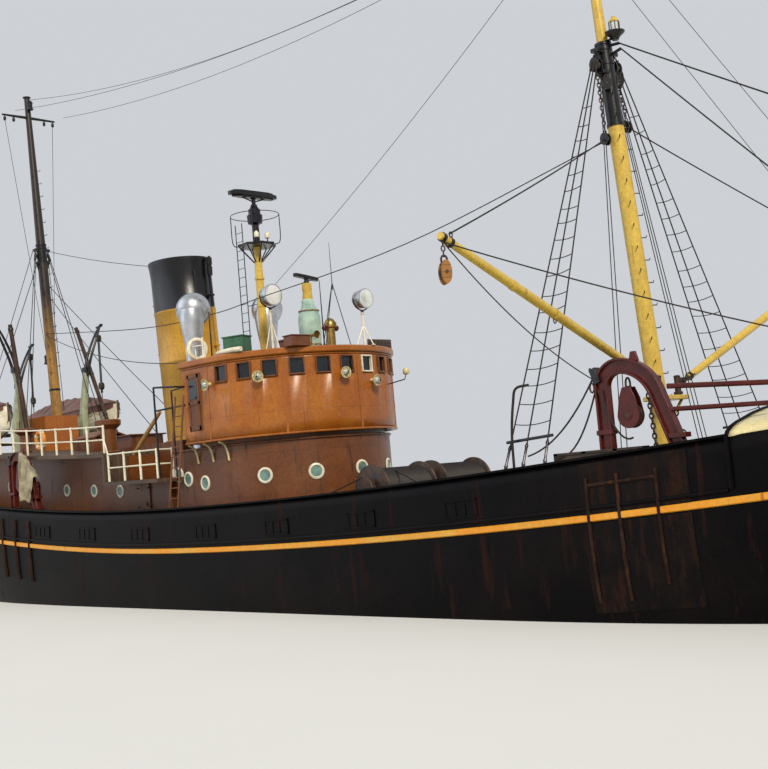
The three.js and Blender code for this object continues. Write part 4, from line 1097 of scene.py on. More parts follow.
# Masthead lantern on its flared shelf, with a rod above it
bm = bmesh.new()
lamp = {"x": 10.93, "z": 13.8}
spot = at(lamp["x"], 0, lamp["z"])
addTurned(bm, [(0.08, -0.18), (0.12, -0.1), (0.24, 0.0), (0.25, 0.03), (0.15, 0.05)], spot, 24, 0)
addTurned(bm, [(0.13, 0.05), (0.13, 0.08), (0.115, 0.1), (0.115, 0.27)], spot, 24, 2)
cowlTop = [(0.13, 0.27), (0.14, 0.29), (0.09, 0.36), (0.05, 0.38), (0.05, 0.42), (0.02, 0.43)]
addTurned(bm, cowlTop, spot, 24, 1)
for p in circled((lamp["x"], 0, lamp["z"]), (0.13, 0, 0), (0, 0.13, 0), 8):
    addTube(bm, [p + upBy(0.05), p + upBy(0.28)], 0.01, 6, 0)
brace = [onMast(masts["foremast"], 13.62), (lamp["x"] - 0.12, 0, 13.7), (lamp["x"], 0, 13.72)]
addTube(bm, brace, 0.035, 8, 0)
makePiece("mastheadLantern", bm, ["blackIronPaint", "buffMastPaint", "lampGlass"])

# Mizzen crosstree with its small blocks and the black lantern below
bm = bmesh.new()
mizzen = masts["mizzen"]
tree = {"z": 19.9, "half": 1.2}
spread = [onMast(mizzen, tree["z"], y=y) for y in (-tree["half"], 0, tree["half"])]
addTube(bm, spread, [0.04, 0.065, 0.04], 12)
for y in (-1.1, -0.7, 0.7, 1.1):
    addTurned(bm, [(0.03, 0), (0.06, 0.05), (0.06, 0.14), (0.03, 0.2)],
              at(*onMast(mizzen, tree["z"] - 0.26, y=y)), 12)
for z, out in ((20.2, 0.22), (9.3, -0.42)):
    centre = onMast(mizzen, z, out)
    shell = [(0.02, -0.03), (0.13, 0), (0.13, 0.05), (0.1, 0.07), (0.1, 0.28), (0.13, 0.3), (0.05, 0.4)]
    addTurned(bm, shell, at(*centre), 16)
    addTube(bm, [centre, onMast(mizzen, z - 0.02)], 0.025, 8)
makePiece("mizzenFittings", bm, ["blackIronPaint"])
print("masts built")

# Booms on the bodies that swing and top them
booms = {
    "starboard": {"heel": (11.416, -0.4), "swing": -82.77, "lift": 18.56},
    "port": {"heel": (11.416, 0.4), "swing": 82.77, "lift": 24.59},
}
knuckleZ = 5.078
boomLength = 8.67


def boomAim(word):
    a, e = math.radians(booms[word]["swing"]), math.radians(booms[word]["lift"])
    return Vector((math.cos(e) * math.cos(a), math.cos(e) * math.sin(a), math.sin(e)))


def onBoom(word, d):
    (x, y), a = booms[word]["heel"], math.radians(booms[word]["swing"])
    return Vector((x + 0.2 * math.cos(a), y + 0.2 * math.sin(a), knuckleZ)) + boomAim(word) * (d - 0.2)


for word, boom in booms.items():
    axis = boomAim(word)
    along = functools.partial(onBoom, word)
    bm = bmesh.new()
    lengths = [0.42, 0.6, 2, 3.9, 6, 8, boomLength]
    addTube(bm, [along(d) for d in lengths], [0.085, 0.088, 0.1, 0.105, 0.1, 0.085, 0.075], 24, 0)
    for d, radius in ((0.5, 0.1), (4.6, 0.118), (6.2, 0.112), (8.35, 0.098), (8.58, 0.095)):
        addTube(bm, [along(d - 0.04), along(d + 0.04)], radius, 24, 0 if 2 < d < 8 else 1)
    side = axis.cross(Vector((0, 0, 1))).normalized()
    for shift in (-0.067, 0.067):
        addTube(bm, [along(0.2) + side * shift, along(0.62) + side * shift], 0.028, 8, 1)
    for d in (4.6, 8.35):
        up = side.cross(axis)
        addHoop(bm, along(d) + up * (0.16 if d > 5 else -0.15), axis * 0.05, up * 0.05, 10, 0.014, 6, 1)
    makePiece(f"boomSpar_{word}", bm, ["buffMastPaint", "blackIronPaint"], body=f"boom_{word}",
              nodes=[f"boom_{word}"])
    bm = bmesh.new()
    x, y = boom["heel"]
    pivot = [(0.06, 4.762), (0.11, 4.77), (0.11, 4.83), (0.075, 4.84), (0.075, 5.19), (0.095, 5.2),
             (0.05, 5.235)]
    addTurned(bm, pivot, at(x, y, 0), 20)
    addBox(bm, (0.03, -0.03, -0.1), (0.28, 0.03, 0.1), 0, at(x, y, knuckleZ, turnZ=boom["swing"]))
    pin = along(0.2)
    addTube(bm, [pin - side * 0.1, pin + side * 0.1], 0.03, 10)
    makePiece(f"gooseneckForging_{word}", bm, ["greasedIron"], body=f"gooseneck_{word}",
              nodes=[f"gooseneck_{word}"], bevel=0.008)

# Boom table round the mast, on brackets
bm = bmesh.new()
outline = [(11.0, -0.5), (11.1, -0.6), (11.55, -0.6), (11.65, -0.5)]
addPrism(bm, outline + [(x, -y) for x, y in reversed(outline)], 4.64, 4.745)
for y in (-0.4, 0.4):
    addTube(bm, [(11.5, y, 4.66), (11.28, y * 0.3, 4.1)], 0.04, 8)
makePiece("boomTable", bm, ["buffMastPaint"], bevel=0.015)
print("booms built")

# Gallows: flanged steel arches, a hanging block in each
gallows = {"bar": 0.33, "spring": 2.42, "shoulder": 0.42, "crown": 0.95, "turnTo": 20, "foot": 2.06,
           "block": 0.64}
gallowsPlaces = {"fore": (12.48, -4.05), "aft": (-13.9, -4.2)}


def arcPoints(x, z, radius, start, end, steps):
    angles = [math.radians(start + (end - start) * k / steps) for k in range(steps + 1)]
    return [(x + radius * math.cos(a), z + radius * math.sin(a)) for a in angles]


def addRibbon(bm, line, offset, wide, low, high):
    rings = []
    for k, (x, z) in enumerate(line):
        ax, az = line[max(k - 1, 0)]
        bx, bz = line[min(k + 1, len(line) - 1)]
        length = math.hypot(bx - ax, bz - az)
        nx, nz = -(bz - az) / length, (bx - ax) / length
        near, far = offset - wide / 2, offset + wide / 2
        corners = ((near, low), (far, low), (far, high), (near, high))
        rings.append([bm.verts.new((x + nx * out, y, z + nz * out)) for out, y in corners])
    addSkin(bm, rings, 0)


gallowsCrown = {}
for word, (x, y) in gallowsPlaces.items():
    deck = deckAt(x)
    spring = deck + gallows["spring"]
    turnX = x + gallows["shoulder"]
    crownZ = spring + gallows["shoulder"] - gallows["crown"]
    line = [(x, deck + 0.002), (x, deck + 1.2)]
    line += arcPoints(turnX, spring, gallows["shoulder"], 180, 90, 10)
    line += arcPoints(turnX, crownZ, gallows["crown"], 90, gallows["turnTo"], 14)[1:]
    line.append((x + gallows["foot"], deckAt(x + gallows["foot"]) + 0.002))
    gallowsCrown[word] = (turnX, crownZ)
    bm = bmesh.new()
    half = gallows["bar"] / 2
    addRibbon(bm, line, 0, gallows["bar"] - 0.04, y - 0.025, y + 0.025)
    for offset in (-half + 0.025, half - 0.025):
        addRibbon(bm, line, offset, 0.05, y - 0.085, y + 0.085)
    for px, pz in ((x, deck + 1.5), (x, deck + 0.3), (x + 1.75, deck + 1.3)):
        addBox(bm, (-0.2, -0.1, -0.05), (0.2, 0.1, 0.05), 0, at(px, y, pz))
    for foot in (x, x + gallows["foot"]):  # foot plates with their bolts
        base = deckAt(foot)
        addBox(bm, (foot - 0.3, y - 0.16, base + 0.002), (foot + 0.3, y + 0.16, base + 0.05))
        for dx, dy in ((-0.22, -0.11), (0.22, -0.11), (-0.22, 0.11), (0.22, 0.11)):
            bolt = [(0.035, 0), (0.035, 0.03), (0.01, 0.04)]
            addTurned(bm, bolt, at(foot + dx, y + dy, base + 0.05), 8, 1)
    cleat = Vector((x - 0.05, y, spring + 0.25))
    addBox(bm, (-0.14, -0.1, -0.12), (0.02, 0.1, 0.22), 1, at(*cleat, tiltY=-20))
    addTube(bm, [cleat + Vector((-0.1, 0, 0.1)), cleat + Vector((-0.25, 0, 0.2))], 0.03, 8, 1)
    addPrism(bm, [(-0.12, -0.05), (0.12, -0.05), (0.06, 0.16), (-0.06, 0.16)], -0.03, 0.03,
             at(turnX + 0.42, y, crownZ + gallows["crown"] * 0.93 + half) @ upright)
    for k in range(3):  # fairlead eyes down the forward leg
        spot = (x + 1.62 + 0.13 * k, y + 0.12, deck + 1.75 - 0.42 * k)
        addHoop(bm, spot, (0.07, 0, 0), (0, 0, 0.07), 10, 0.02, 6, 1)
    makePiece(f"gallowsArch_{word}", bm, ["redOxidePaint", "blackIronPaint"], nodes=[f"gallows_{word}"],
              bevel=0.012)

    # The hanging block: two cheeks, a grooved sheave, pin and shackle
    middle = x + gallows["block"]
    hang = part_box(f"gallows_block_{word}")[1].z / modelScale
    bm = bmesh.new()
    cheek = [(-0.1, -0.22), (-0.2, -0.45), *arcPoints(0, -0.8, 0.27, 180, 360, 14), (0.2, -0.45),
             (0.1, -0.22)]
    place = at(middle, y, hang) @ upright
    pinPlace = place @ Matrix.Translation((0, -0.8, 0))
    for near, far in ((-0.1, -0.07), (0.07, 0.1)):
        addPrism(bm, cheek, near, far, place, 0)
    groove = [(0.25, -0.055), (0.25, -0.045), (0.19, -0.02), (0.19, 0.02), (0.25, 0.045), (0.25, 0.055)]
    addTurned(bm, groove, pinPlace, 28, 1)
    addTurned(bm, [(0.06, -0.13), (0.06, 0.13)], pinPlace, 12, 1)
    addTurned(bm, [(0.1, -0.115), (0.1, 0.115)], pinPlace, 16, 0)
    addBox(bm, (-0.05, -0.5, -0.06), (0.05, -0.2, 0.06), 0, place)
    addHoop(bm, (middle, y, hang - 0.16), (0.055, 0, 0), (0, 0, 0.13), 16, 0.024, 8, 1)
    makePiece(f"hangingBlock_{word}", bm, ["redOxidePaint", "greasedIron"], body=f"block_{word}",
              nodes=[f"gallows_block_{word}"], bevel=0.006)

# Two red bars from the fore gallows to the whaleback
bm = bmesh.new()
addTube(bm, [(14.05, -4.05, 4.72), (16.2, -3.4, 4.56)], 0.055, 12)
addTube(bm, [(14.15, -4.05, 4.25), (16.0, -3.55, 4.18)], 0.05, 12)
makePiece("gallowsBars", bm, ["redOxidePaint"])
print("gallows built")

# Wire rigging: shrouds with bottle screws and ratlines, and the fore stays
shroudLook = {"wire": 0.017, "rat": 0.011, "pitch": 0.42, "lift": 0.6}
shroudSets = {
    "fore": ("foremast", {"starboard": [10.0, 10.5, 11.1], "port": [10.3, 10.77, 11.5]}),
    "mizzen": ("mizzen", {"starboard": [-17.6, -17.1], "port": [-17.6, -17.1]}),
}
boatDeck = {"low": 1.93, "high": 2.88, "step": -7.85, "levelFrom": -17}


def boatDeckAt(x):
    over = boatDeck["high"] if x < boatDeck["step"] else boatDeck["low"]
    return deckAt(max(x, boatDeck["levelFrom"])) + over


for setName, (mastName, feet) in shroudSets.items():
    mast = masts[mastName]
    top = mast["hounds"] - 0.05
    onBulwark = mastName == "foremast"
    for word, side in bothSides.items():
        bm = bmesh.new()
        lines = []
        for k, x in enumerate(feet[word]):
            y = edgeAt(x) - 0.04 if onBulwark else 1.8
            z = deckAt(x) + 1.03 if onBulwark else boatDeckAt(x) + 0.03
            headX = mastX(mast, top) + (k - (len(feet[word]) - 1) / 2) * 0.07
            lines.append((Vector((x, side * y, z)), Vector((headX, side * (mast["houndsOut"] - 0.06), top))))
        for foot, head in lines:
            addTube(bm, [foot, head], shroudLook["wire"], 8, 0)
            addTube(bm, [foot.lerp(head, s) for s in (0, 0.006, 0.012, 0.04, 0.046, 0.052)],
                    [0.03, 0.045, 0.03, 0.03, 0.042, 0.02], 10, 1)
            addTube(bm, [foot.lerp(head, s) for s in (0.955, 0.96, 0.99, 0.995)],
                    [0.018, 0.034, 0.034, 0.02], 8, 0)
        first, last = lines[0], lines[-1]
        tall = first[1].z - first[0].z
        share = shroudLook["lift"] / tall
        a, b = first[0].lerp(first[1], share), last[0].lerp(last[1], share)
        over = (b - a).normalized() * 0.12
        addTube(bm, [a - over, b + over], 0.035, 10, 1)
        if onBulwark:
            for k in range(int((tall - 1.6) / shroudLook["pitch"])):
                share = (1.0 + shroudLook["pitch"] * (k + random.uniform(-0.12, 0.12))) / tall
                a = first[0].lerp(first[1], share)
                b = last[0].lerp(last[1], share + random.uniform(-0.006, 0.004))
                addTube(bm, sagging(a, b, 0.05 * (b - a).length, 6), shroudLook["rat"], 6, 2)
        makePiece(f"{setName}_shroud_wires_{word}", bm, ["galvanisedWire", "blackIronPaint", "tarredRope"],
                  nodes=[f"{setName}_shrouds_{word}"])

foreStays = (((11.02, 0, 13.52), 24.1, 13.55), ((11.06, 0, 13.37), 19.2, 13.3))
bm = bmesh.new()
for head, footX, bandZ in foreStays:
    foot = Vector((footX, 0, deckAt(footX) + whaleback["crown"] + 0.04))
    addTube(bm, sagging(head, foot, 0.06, 12), 0.019, 8, 0)
    addTube(bm, [foot, foot.lerp(Vector(head), 0.06)], 0.036, 10, 1)
    addTube(bm, [foot + upBy(-0.03), foot + upBy(0.06)], 0.09, 10, 1)
    addTube(bm, [onMast(masts["foremast"], bandZ, 0.15), head], 0.04, 8, 1)
makePiece("foreStayWires", bm, ["galvanisedWire", "blackIronPaint"], nodes=["fore_stays"])


def addWire(bm, points, radius):
    addTube(bm, points, radius, 6, 0)


def addChain(bm, top, bottom, link=0.1, wire=0.014, finish=0):
    top, bottom = Vector(top), Vector(bottom)
    along = (bottom - top).normalized()
    count = max(2, round((bottom - top).length / (link * 0.78)))
    side = along.orthogonal().normalized()
    for k in range(count):
        middle = top.lerp(bottom, (k + 0.5) / count)
        out = side if k % 2 else along.cross(side)
        addHoop(bm, middle, along * link / 2, out * link * 0.3, 8, wire, 5, finish)


# A wooden block: two cheeks round a sheave, with an iron strop
def addBlock(bm, top, size=0.3, wood=0, iron=1, turnZ=0, slim=0.32):
    place = at(*top, turnZ=turnZ) @ upright @ Matrix.Scale(size, 4)
    cheek = circled((0, -0.6, 0), (0, 0.45, 0), (slim, 0, 0), 18)
    for near, far in ((-0.26, -0.12), (0.12, 0.26)):
        addPrism(bm, [p.xy for p in cheek], near, far, place, wood)
    pin = place @ Matrix.Translation((0, -0.6, 0))
    addTurned(bm, [(0.24, -0.1), (0.18, 0), (0.24, 0.1)], pin, 14, iron)
    addTurned(bm, [(0.06, -0.3), (0.06, 0.3)], pin, 10, iron)
    strop = circled((0, -0.12, 0), (0, 0.16, 0), (0.12, 0, 0), 10)
    addTube(bm, [place @ p for p in strop], size * 0.045, 6, iron, loop=True)


fore = masts["foremast"]
hung = {
    "starboard": (onMast(fore, 13.3, -0.04, -0.34), Vector((10.64, -0.42, 11.35))),
    "port": (onMast(fore, 13.3, 0.04, 0.34), Vector((10.72, 0.42, 11.75))),
}
bm = bmesh.new()
for top, low in hung.values():
    addBlock(bm, top, 0.42, 0, 1)
    addChain(bm, top - upBy(0.42), low + upBy(0.05), 0.13, 0.016, 1)
    addBlock(bm, low, 0.34, 0, 1)
for y, z in ((-0.26, 12.75), (0.3, 12.9)):
    addBlock(bm, onMast(fore, z, 0.12, y), 0.36, 0, 1, 40)
makePiece("mastheadBlocks", bm, ["blackIronPaint", "greasedIron"])

# Topping lifts, sagging between the mast and the spar
for word in bothSides:
    bm = bmesh.new()
    low = hung[word][1] - upBy(0.2)
    tip = onBoom(word, 8.35) + upBy(0.16)
    addWire(bm, sagging(low, tip, 0.05, 24), 0.017)
    makePiece(f"toppingLift_{word}", bm, ["galvanisedWire"],
              bend=(f"gooseneck_{word}", f"boom_{word}", low, tip))

# Yellow cargo block on its chain under each boom tip
for word in bothSides:
    bm = bmesh.new()
    tip = onBoom(word, 8.6) - upBy(0.07)
    low = tip - upBy(0.3)
    addChain(bm, tip, low, 0.11, 0.016, 1)
    addBlock(bm, low, 0.5, 0, 1, 60, 0.2)
    makePiece(f"cargoBlock_{word}", bm, ["yellowBlockWood", "greasedIron"], body=f"boom_{word}")

# Standing wires that cross the picture: aerials, topmast stay, backstay and gantlines
bm = bmesh.new()
foretop = onMast(fore, 17.95)
mizzenTop = onMast(mizzen, 20.7)
addWire(bm, sagging(foretop, (26.6, 0, 6.75), 0.25, 20), 0.014)
for z, footX in ((16.25, 17.6), (17.65, 18.45)):
    foot = (footX, 0, deckAt(footX) + whaleback["crown"] + 0.04)
    addWire(bm, sagging(onMast(fore, z, 0.05), foot, 0.04, 16), 0.008)
addWire(bm, sagging((-3.35, -0.3, 9.6), onMast(fore, 17.6), 0.3, 24), 0.008)
addWire(bm, sagging(mizzenTop, foretop, 1.1, 40), 0.008)
for y in (-1.1, 1.1):
    addWire(bm, sagging((-17.9, y, 19.8), onMast(fore, 17.8), 0.9, 40), 0.008)
for y in (-0.3, 0.3):
    addWire(bm, sagging(onMast(mizzen, 12.6, 0, y * 0.6), (-9.2, y * 2.6, 5.4), 0.1, 14), 0.014)
addWire(bm, sagging(onMast(mizzen, 14.1), (-25.0, 0, 7.1), 0.08, 12), 0.016)
addWire(bm, sagging(onMast(mizzen, 14.1, 0.1), (-8.0, 0, 11.4), 0.15, 14), 0.012)
addWire(bm, sagging(onMast(mizzen, 10.4, 0.1, -0.15), (-3.95, -3.3, 7.47), 0.35, 20), 0.014)
gantline = [
    onMast(mizzen, 10.5, 0.1, -0.2), (-9.0, -1.35, 9.36), (-4.9, -1.33, 9.22), (-2.2, -1.52, 9.28),
    (4.2, -1.1, 9.8), (10.64, -0.42, 11.1),
]
addWire(bm, through(gantline, 8), 0.014)
for y in (-1.1, 1.1):
    addWire(bm, sagging((-18.86, y, 19.75), onMast(mizzen, 9.5, -0.05, y * 0.16), 0.03, 10), 0.01)
    foot = (-21.5, y * 2.1, boatDeckAt(-21.5) + 0.05)
    addWire(bm, sagging(onMast(mizzen, 14.1, -0.1, y * 0.3), foot, 0.05, 10), 0.014)
for y, foot in ((0.2, 11.9), (0.26, 11.95), (0.32, 12.0), (-0.3, 10.4), (-0.36, 10.3)):
    addWire(bm, sagging(onMast(fore, 12.6, 0, y), (foot, y * 1.6, deckAt(foot) + 1.2), 0.04, 10), 0.012)
makePiece("standingWires", bm, ["galvanisedWire"])

# Boom guys, led forward from each tip to the whaleback rail
for word, side in bothSides.items():
    bm = bmesh.new()
    tip = onBoom(word, 8.58) - upBy(0.09)
    fast = Vector((18.5, side * edgeAt(18.5) * 0.96, sheerAt(18.5) + 1.95))
    addWire(bm, sagging(tip, fast, 0.12, 20), 0.014)
    if side < 0:  # a second one leads back to the gallows
        addWire(bm, sagging(tip, (12.36, -4.22, 5.06), 0.25, 20), 0.012)
    makePiece(f"boomGuys_{word}", bm, ["tarredRope"],
              bend=(f"gooseneck_{word}", f"boom_{word}", fast, tip))
print("rigging led")

# Radar mast with its platform, hoops, gearbox and lamps
radar = {"x": -3.47, "y": -0.35, "scanner": 0.95}
roof = bridge["roof"]
roofTop = roof + 0.002


def onRadar(x, y, z):
    return Vector((radar["x"] + x, radar["y"] + y, z))


def spoke(angle):
    return Vector((math.cos(math.radians(angle)), math.sin(math.radians(angle)), 0))


bm = bmesh.new()
addTube(bm, [onRadar(0, 0, z) for z in (roofTop, roofTop + 0.06, roofTop + 0.07, 9.4, 11.25)],
        [0.24, 0.24, 0.145, 0.135, 0.12], 24, 0)
addTube(bm, [onRadar(0, 0, z) for z in (11.25, 11.95, 12.0)], [0.12, 0.115, 0.11], 24, 1)
for k in range(8):
    out = spoke(45 * k + 22)
    addTube(bm, [onRadar(0, 0, 10.75) + out * 0.14, onRadar(0, 0, 11.26) + out * 0.6], 0.022, 6, 1)
plan = [(spoke(22.5 * k) * 0.65 * (1 if k % 2 else 0.86)).xy for k in range(16)]
addPrism(bm, plan, 11.26, 11.34, at(radar["x"], radar["y"], 0), 1)
addTube(bm, [onRadar(0, 0, z) for z in (12.0, 12.04, 12.3, 12.36, 12.5, 12.54, 12.6)],
        [0.15, 0.24, 0.26, 0.2, 0.2, 0.15, 0.12], 20, 1)
for k in range(4):  # hoops round the scanner's gear
    out = spoke(90 * k + 45)
    bent = [onRadar(0, 0, z) + out * far for z, far in ((11.3, 0.55), (11.42, 0.78), (12.3, 0.8))]
    addTube(bm, through(bent, 4), 0.016, 6, 1)
addHoop(bm, onRadar(0, 0, 12.3), (0.8, 0, 0), (0, 0.8, 0), 24, 0.014, 6, 1)
for y in (-0.22, 0.22):  # two masthead lamps
    addTurned(bm, [(0.05, 0), (0.08, 0.02), (0.08, 0.16), (0.03, 0.22)], at(*onRadar(0.3, y, 11.5)), 14, 2)
    addTube(bm, [onRadar(0.3, y, 11.34), onRadar(0.3, y, 11.5)], 0.02, 6, 1)
for z in (8.3, 9.3, 10.2):
    addTube(bm, [onRadar(0, 0, z - 0.03), onRadar(0, 0, z + 0.03)], 0.16, 24, 0)
makePiece("radarMastPole", bm, ["buffMastPaint", "blackIronPaint", "whitePaint"], nodes=["radar_mast"],
          sharp=40)

bm = bmesh.new()
half = radar["scanner"]
plan = [(-0.16, -0.6), (-0.1, -1), (0.06, -1), (0.15, -0.7), (0.16, 0), (0.15, 0.7), (0.06, 1), (-0.1, 1),
        (-0.16, 0.6)]
for low, high, shrink in ((12.88, 12.93, 0.85), (12.93, 13.06, 1.0), (13.06, 13.11, 0.85)):
    addPrism(bm, [(x * shrink, y * half * shrink) for x, y in plan], low, high,
             at(radar["x"], radar["y"], 0))
addTube(bm, [onRadar(0, 0, z) for z in (12.607, 12.66, 12.67, 12.84, 12.89)],
        [0.11, 0.11, 0.07, 0.07, 0.13], 18)
for y in (-0.5, 0.5):
    addTube(bm, [onRadar(0, 0, 12.76), onRadar(0, y, 12.9)], 0.025, 6)
makePiece("radarScannerHead", bm, ["blackIronPaint"], body="radar_scanner", nodes=["radar_scanner"],
          bevel=0.012)

# Ladder up behind the radar mast from the house top
ladder = {"aft": -4.56, "fore": -4.2, "foot": 4.755, "top": 12.2, "firstRung": 5.0, "pitch": 0.3}
bm = bmesh.new()
for x in (ladder["aft"], ladder["fore"]):
    addTube(bm, [(x, radar["y"], ladder["foot"]), (x, radar["y"], ladder["top"])], 0.016, 6)
z = ladder["firstRung"]
while z < ladder["top"]:
    addTube(bm, [(ladder["aft"], radar["y"], z), (ladder["fore"], radar["y"], z)], 0.01, 6)
    z += ladder["pitch"]
for z in (7.4, 9.4, 11.3):
    addTube(bm, [(ladder["fore"], radar["y"], z), onRadar(-0.1, 0, z)], 0.014, 6)
makePiece("radarLadder", bm, ["blackIronPaint"])

# Covered pedestal with its small tilted scanner
column = {"x": -1.54, "top": 9.72, "sides": 40, "creases": 9}
bm = bmesh.new()
sleeve = [
    (0.3, 0.0), (0.33, 0.1), (0.31, 0.3), (0.34, 0.6), (0.36, 0.9), (0.35, 1.15), (0.3, 1.35),
    (0.22, 1.5), (0.19, 1.62), (0.2, 1.68), (0.17, 1.74),
]
rings = []
for radius, height in sleeve:
    centre = Vector((column["x"], 0, roofTop + height))
    ring = addRing(bm, centre, Vector((1, 0, 0)), Vector((0, 1, 0)), radius, column["sides"])
    for k, vert in enumerate(ring):
        wave = math.sin(k * math.tau * column["creases"] / column["sides"] + height * 2)
        crease = 0.018 * wave * (0.5 + 0.5 * math.cos(height * 3))
        vert.co += (vert.co - centre).normalized() * crease
    rings.append(ring)
addSkin(bm, rings, 0)
for height in (0.28, 1.36):
    addHoop(bm, (column["x"], 0, roofTop + height), (0.325, 0, 0), (0, 0.325, 0), 24, 0.02, 6, 2)
addTube(bm, [(column["x"], 0, roofTop + z) for z in (1.7, 1.76, 2.0, 2.04, column["top"] - roofTop)],
        [0.16, 0.17, 0.14, 0.16, 0.15], 20, 1)
makePiece("pedestalCover", bm, ["greenCanvas", "buffMastPaint", "hempRope"], nodes=["radar_column"],
          sharp=60)
bm = bmesh.new()
plan = [(-0.1, -0.4), (-0.04, -0.5), (0.08, -0.46), (0.1, 0), (0.08, 0.46), (-0.04, 0.5), (-0.1, 0.4)]
addPrism(bm, plan, -0.05, 0.06, at(column["x"], 0, column["top"] + 0.2, tiltX=-7))
addTube(bm, [(column["x"], 0, column["top"] + z) for z in (0.006, 0.1, 0.2)], [0.1, 0.07, 0.09], 16)
makePiece("pedestalScanner", bm, ["blackIronPaint"], body="column_scanner", nodes=["column_scanner"],
          bevel=0.015)

# Searchlights: spun drums with a glass front, yoke and tripod stand
searchlights = {"fore": (0.3, 0.6, 8.93, 0.31), "aft": (-2.23, -1.0, 9.4, 0.35)}
for word, (x, y, z, radius) in searchlights.items():
    bm = bmesh.new()
    drum = at(x, y, z, tiltY=90)
    shell = [
        (0.3, -0.225), (0.7, -0.2), (0.88, -0.12), (0.95, 0.1), (0.96, 0.17), (1, 0.18), (1, 0.225),
        (0.93, 0.23),
    ]
    addTurned(bm, [(radius * share, z) for share, z in shell], drum, 32, 0)
    addTurned(bm, [(radius * 0.9, 0.232), (radius * 0.6, 0.245), (0, 0.25)], drum, 32, 1)
    addTurned(bm, [(0.06, -0.3), (0.08, -0.28), (0.05, -0.22)], drum, 12, 0)
    wide, low = radius * 0.9, z - radius * 0.7
    yoke = [(x, y - radius - 0.03, z), (x, y - wide, low), (x, y, z - radius - 0.04), (x, y + wide, low),
            (x, y + radius + 0.03, z)]
    addTube(bm, through(yoke, 5), 0.022, 8, 2)
    addTube(bm, [(x, y, z - radius - 0.085), (x, y, z - radius - 0.02)], 0.05, 12, 2)
    makePiece(f"searchlightDrum_{word}", bm, ["aluminiumPaint", "lampGlass", "blackIronPaint"],
              body=f"searchlight_{word}", nodes=[f"searchlight_{word}"], sharp=45)
    bm = bmesh.new()
    foot = z - radius - 0.1
    addTube(bm, [(x, y, roofTop), (x, y, foot)], 0.038, 12)
    for k in range(3):
        out = spoke(120 * k + 20) * 0.3
        addTube(bm, [Vector((x, y, roofTop)) + out, Vector((x, y, foot - 0.45)) + out * 0.1], 0.018, 6)
        addTurned(bm, [(0.06, 0), (0.06, 0.02), (0.02, 0.03)], at(x + out.x, y + out.y, roofTop), 10)
    addTube(bm, [(x, y, foot - 0.06), (x, y, foot)], 0.06, 12)
    makePiece(f"searchlightPillar_{word}", bm, ["whitePaint"], nodes=[f"searchlight_stand_{word}"])
print("radar and searchlights built")

# Gear on the wheelhouse roof
def roofAt(x, y, z=0, turnZ=0):
    return at(x, y, roof + z, turnZ=turnZ)


def addLocker(bm, place, long, wide, high, lid):
    addBox(bm, (-long, -wide, 0), (long, wide, high), 0, place)
    addBox(bm, (-long - 0.03, -wide - 0.03, high), (long + 0.03, wide + 0.03, high + lid), 0, place)


bm = bmesh.new()
addLocker(bm, roofAt(-1.75, -2.75, turnZ=20), 0.35, 0.25, 0.5, 0.04)
makePiece("signalLocker", bm, ["greenBoxPaint"], bevel=0.01)
bm = bmesh.new()
binnacle = [
    (0.2, 0), (0.2, 0.05), (0.14, 0.08), (0.14, 0.6), (0.19, 0.64), (0.2, 0.75), (0.12, 0.88), (0.03, 0.93),
]
addTurned(bm, binnacle, roofAt(-0.22, -0.31), 24, 0)
for side in (-1, 1):
    addTurned(bm, [(0.02, -0.09), (0.07, -0.06), (0.09, 0), (0.07, 0.06), (0.02, 0.09)],
              roofAt(-0.22, -0.31 + side * 0.24, 0.62), 14, 1)
addTube(bm, [(-0.8, -0.62, roof), (-0.8, -0.62, 7.9)], 0.03, 8, 0)
addTurned(bm, [(0.03, -0.25), (0.035, -0.05), (0.05, 0.1), (0.12, 0.24), (0.125, 0.25), (0.1, 0.22)],
          at(-0.75, -0.62, 7.93, tiltY=90), 18, 0)
makePiece("compassAndHorn", bm, ["dullBrass", "redOxidePaint"], sharp=40)
bm = bmesh.new()
addLocker(bm, roofAt(-2.35, 0), 0.5, 0.28, 0.55, 0.05)
addLocker(bm, roofAt(0.05, -1.9), 0.2, 0.35, 0.3, 0.03)
addTurned(bm, [(0.11, 0), (0.11, 0.32), (0.19, 0.38), (0.19, 0.42), (0.05, 0.47)], roofAt(-2.4, 1.5), 20, 0)
addTurned(bm, [(0.11, 0), (0.11, 0.25), (0.18, 0.3), (0.18, 0.34), (0.05, 0.38)], roofAt(-2.9, -1.9), 20, 0)
makePiece("roofLockers", bm, ["darkBrownPaint"], bevel=0.01)
bm = bmesh.new()
top = Vector((-0.32, 0, 9.52))
for x, y in ((0.39, -1.07), (0.43, -0.1), (-0.9, -0.1)):
    addTube(bm, [(x, y, roof), top], 0.013, 6, 0)
addTube(bm, [(-0.32, 0, 9.3), (-0.32, 0, 10.8)], [0.014, 0.006], 6, 0)
addTube(bm, [(-3.1, 1.9, roof), (-3.1, 1.9, 10.2)], [0.03, 0.012], 8, 0)
addTube(bm, [(-3.3, -2.6, roof), (-3.3, -2.6, 9.0)], [0.025, 0.015], 8, 0)
makePiece("aerials", bm, ["blackIronPaint"])
bm = bmesh.new()
addTube(bm, [(-3.8, -3.2, roof + 0.42), (-3.4, -3.25, roof + 0.44), (-2.8, -3.2, roof + 0.42)], 0.02, 8, 0)
for x in (-3.8, -3.3, -2.8):
    addTube(bm, [(x, -3.2, roof), (x, -3.2, roof + 0.42)], 0.02, 8, 0)
roll = [(-2.45, -3.0, 7.56), (-2.2, -3.12, 7.55), (-1.6, -3.16, 7.56), (-1.15, -3.08, 7.55)]
addTube(bm, through(roll, 6), 0.075, 12, 0)
addTube(bm, [(-2.7, -3.35, roof), (-2.7, -3.35, 8.1)], 0.03, 8, 0)
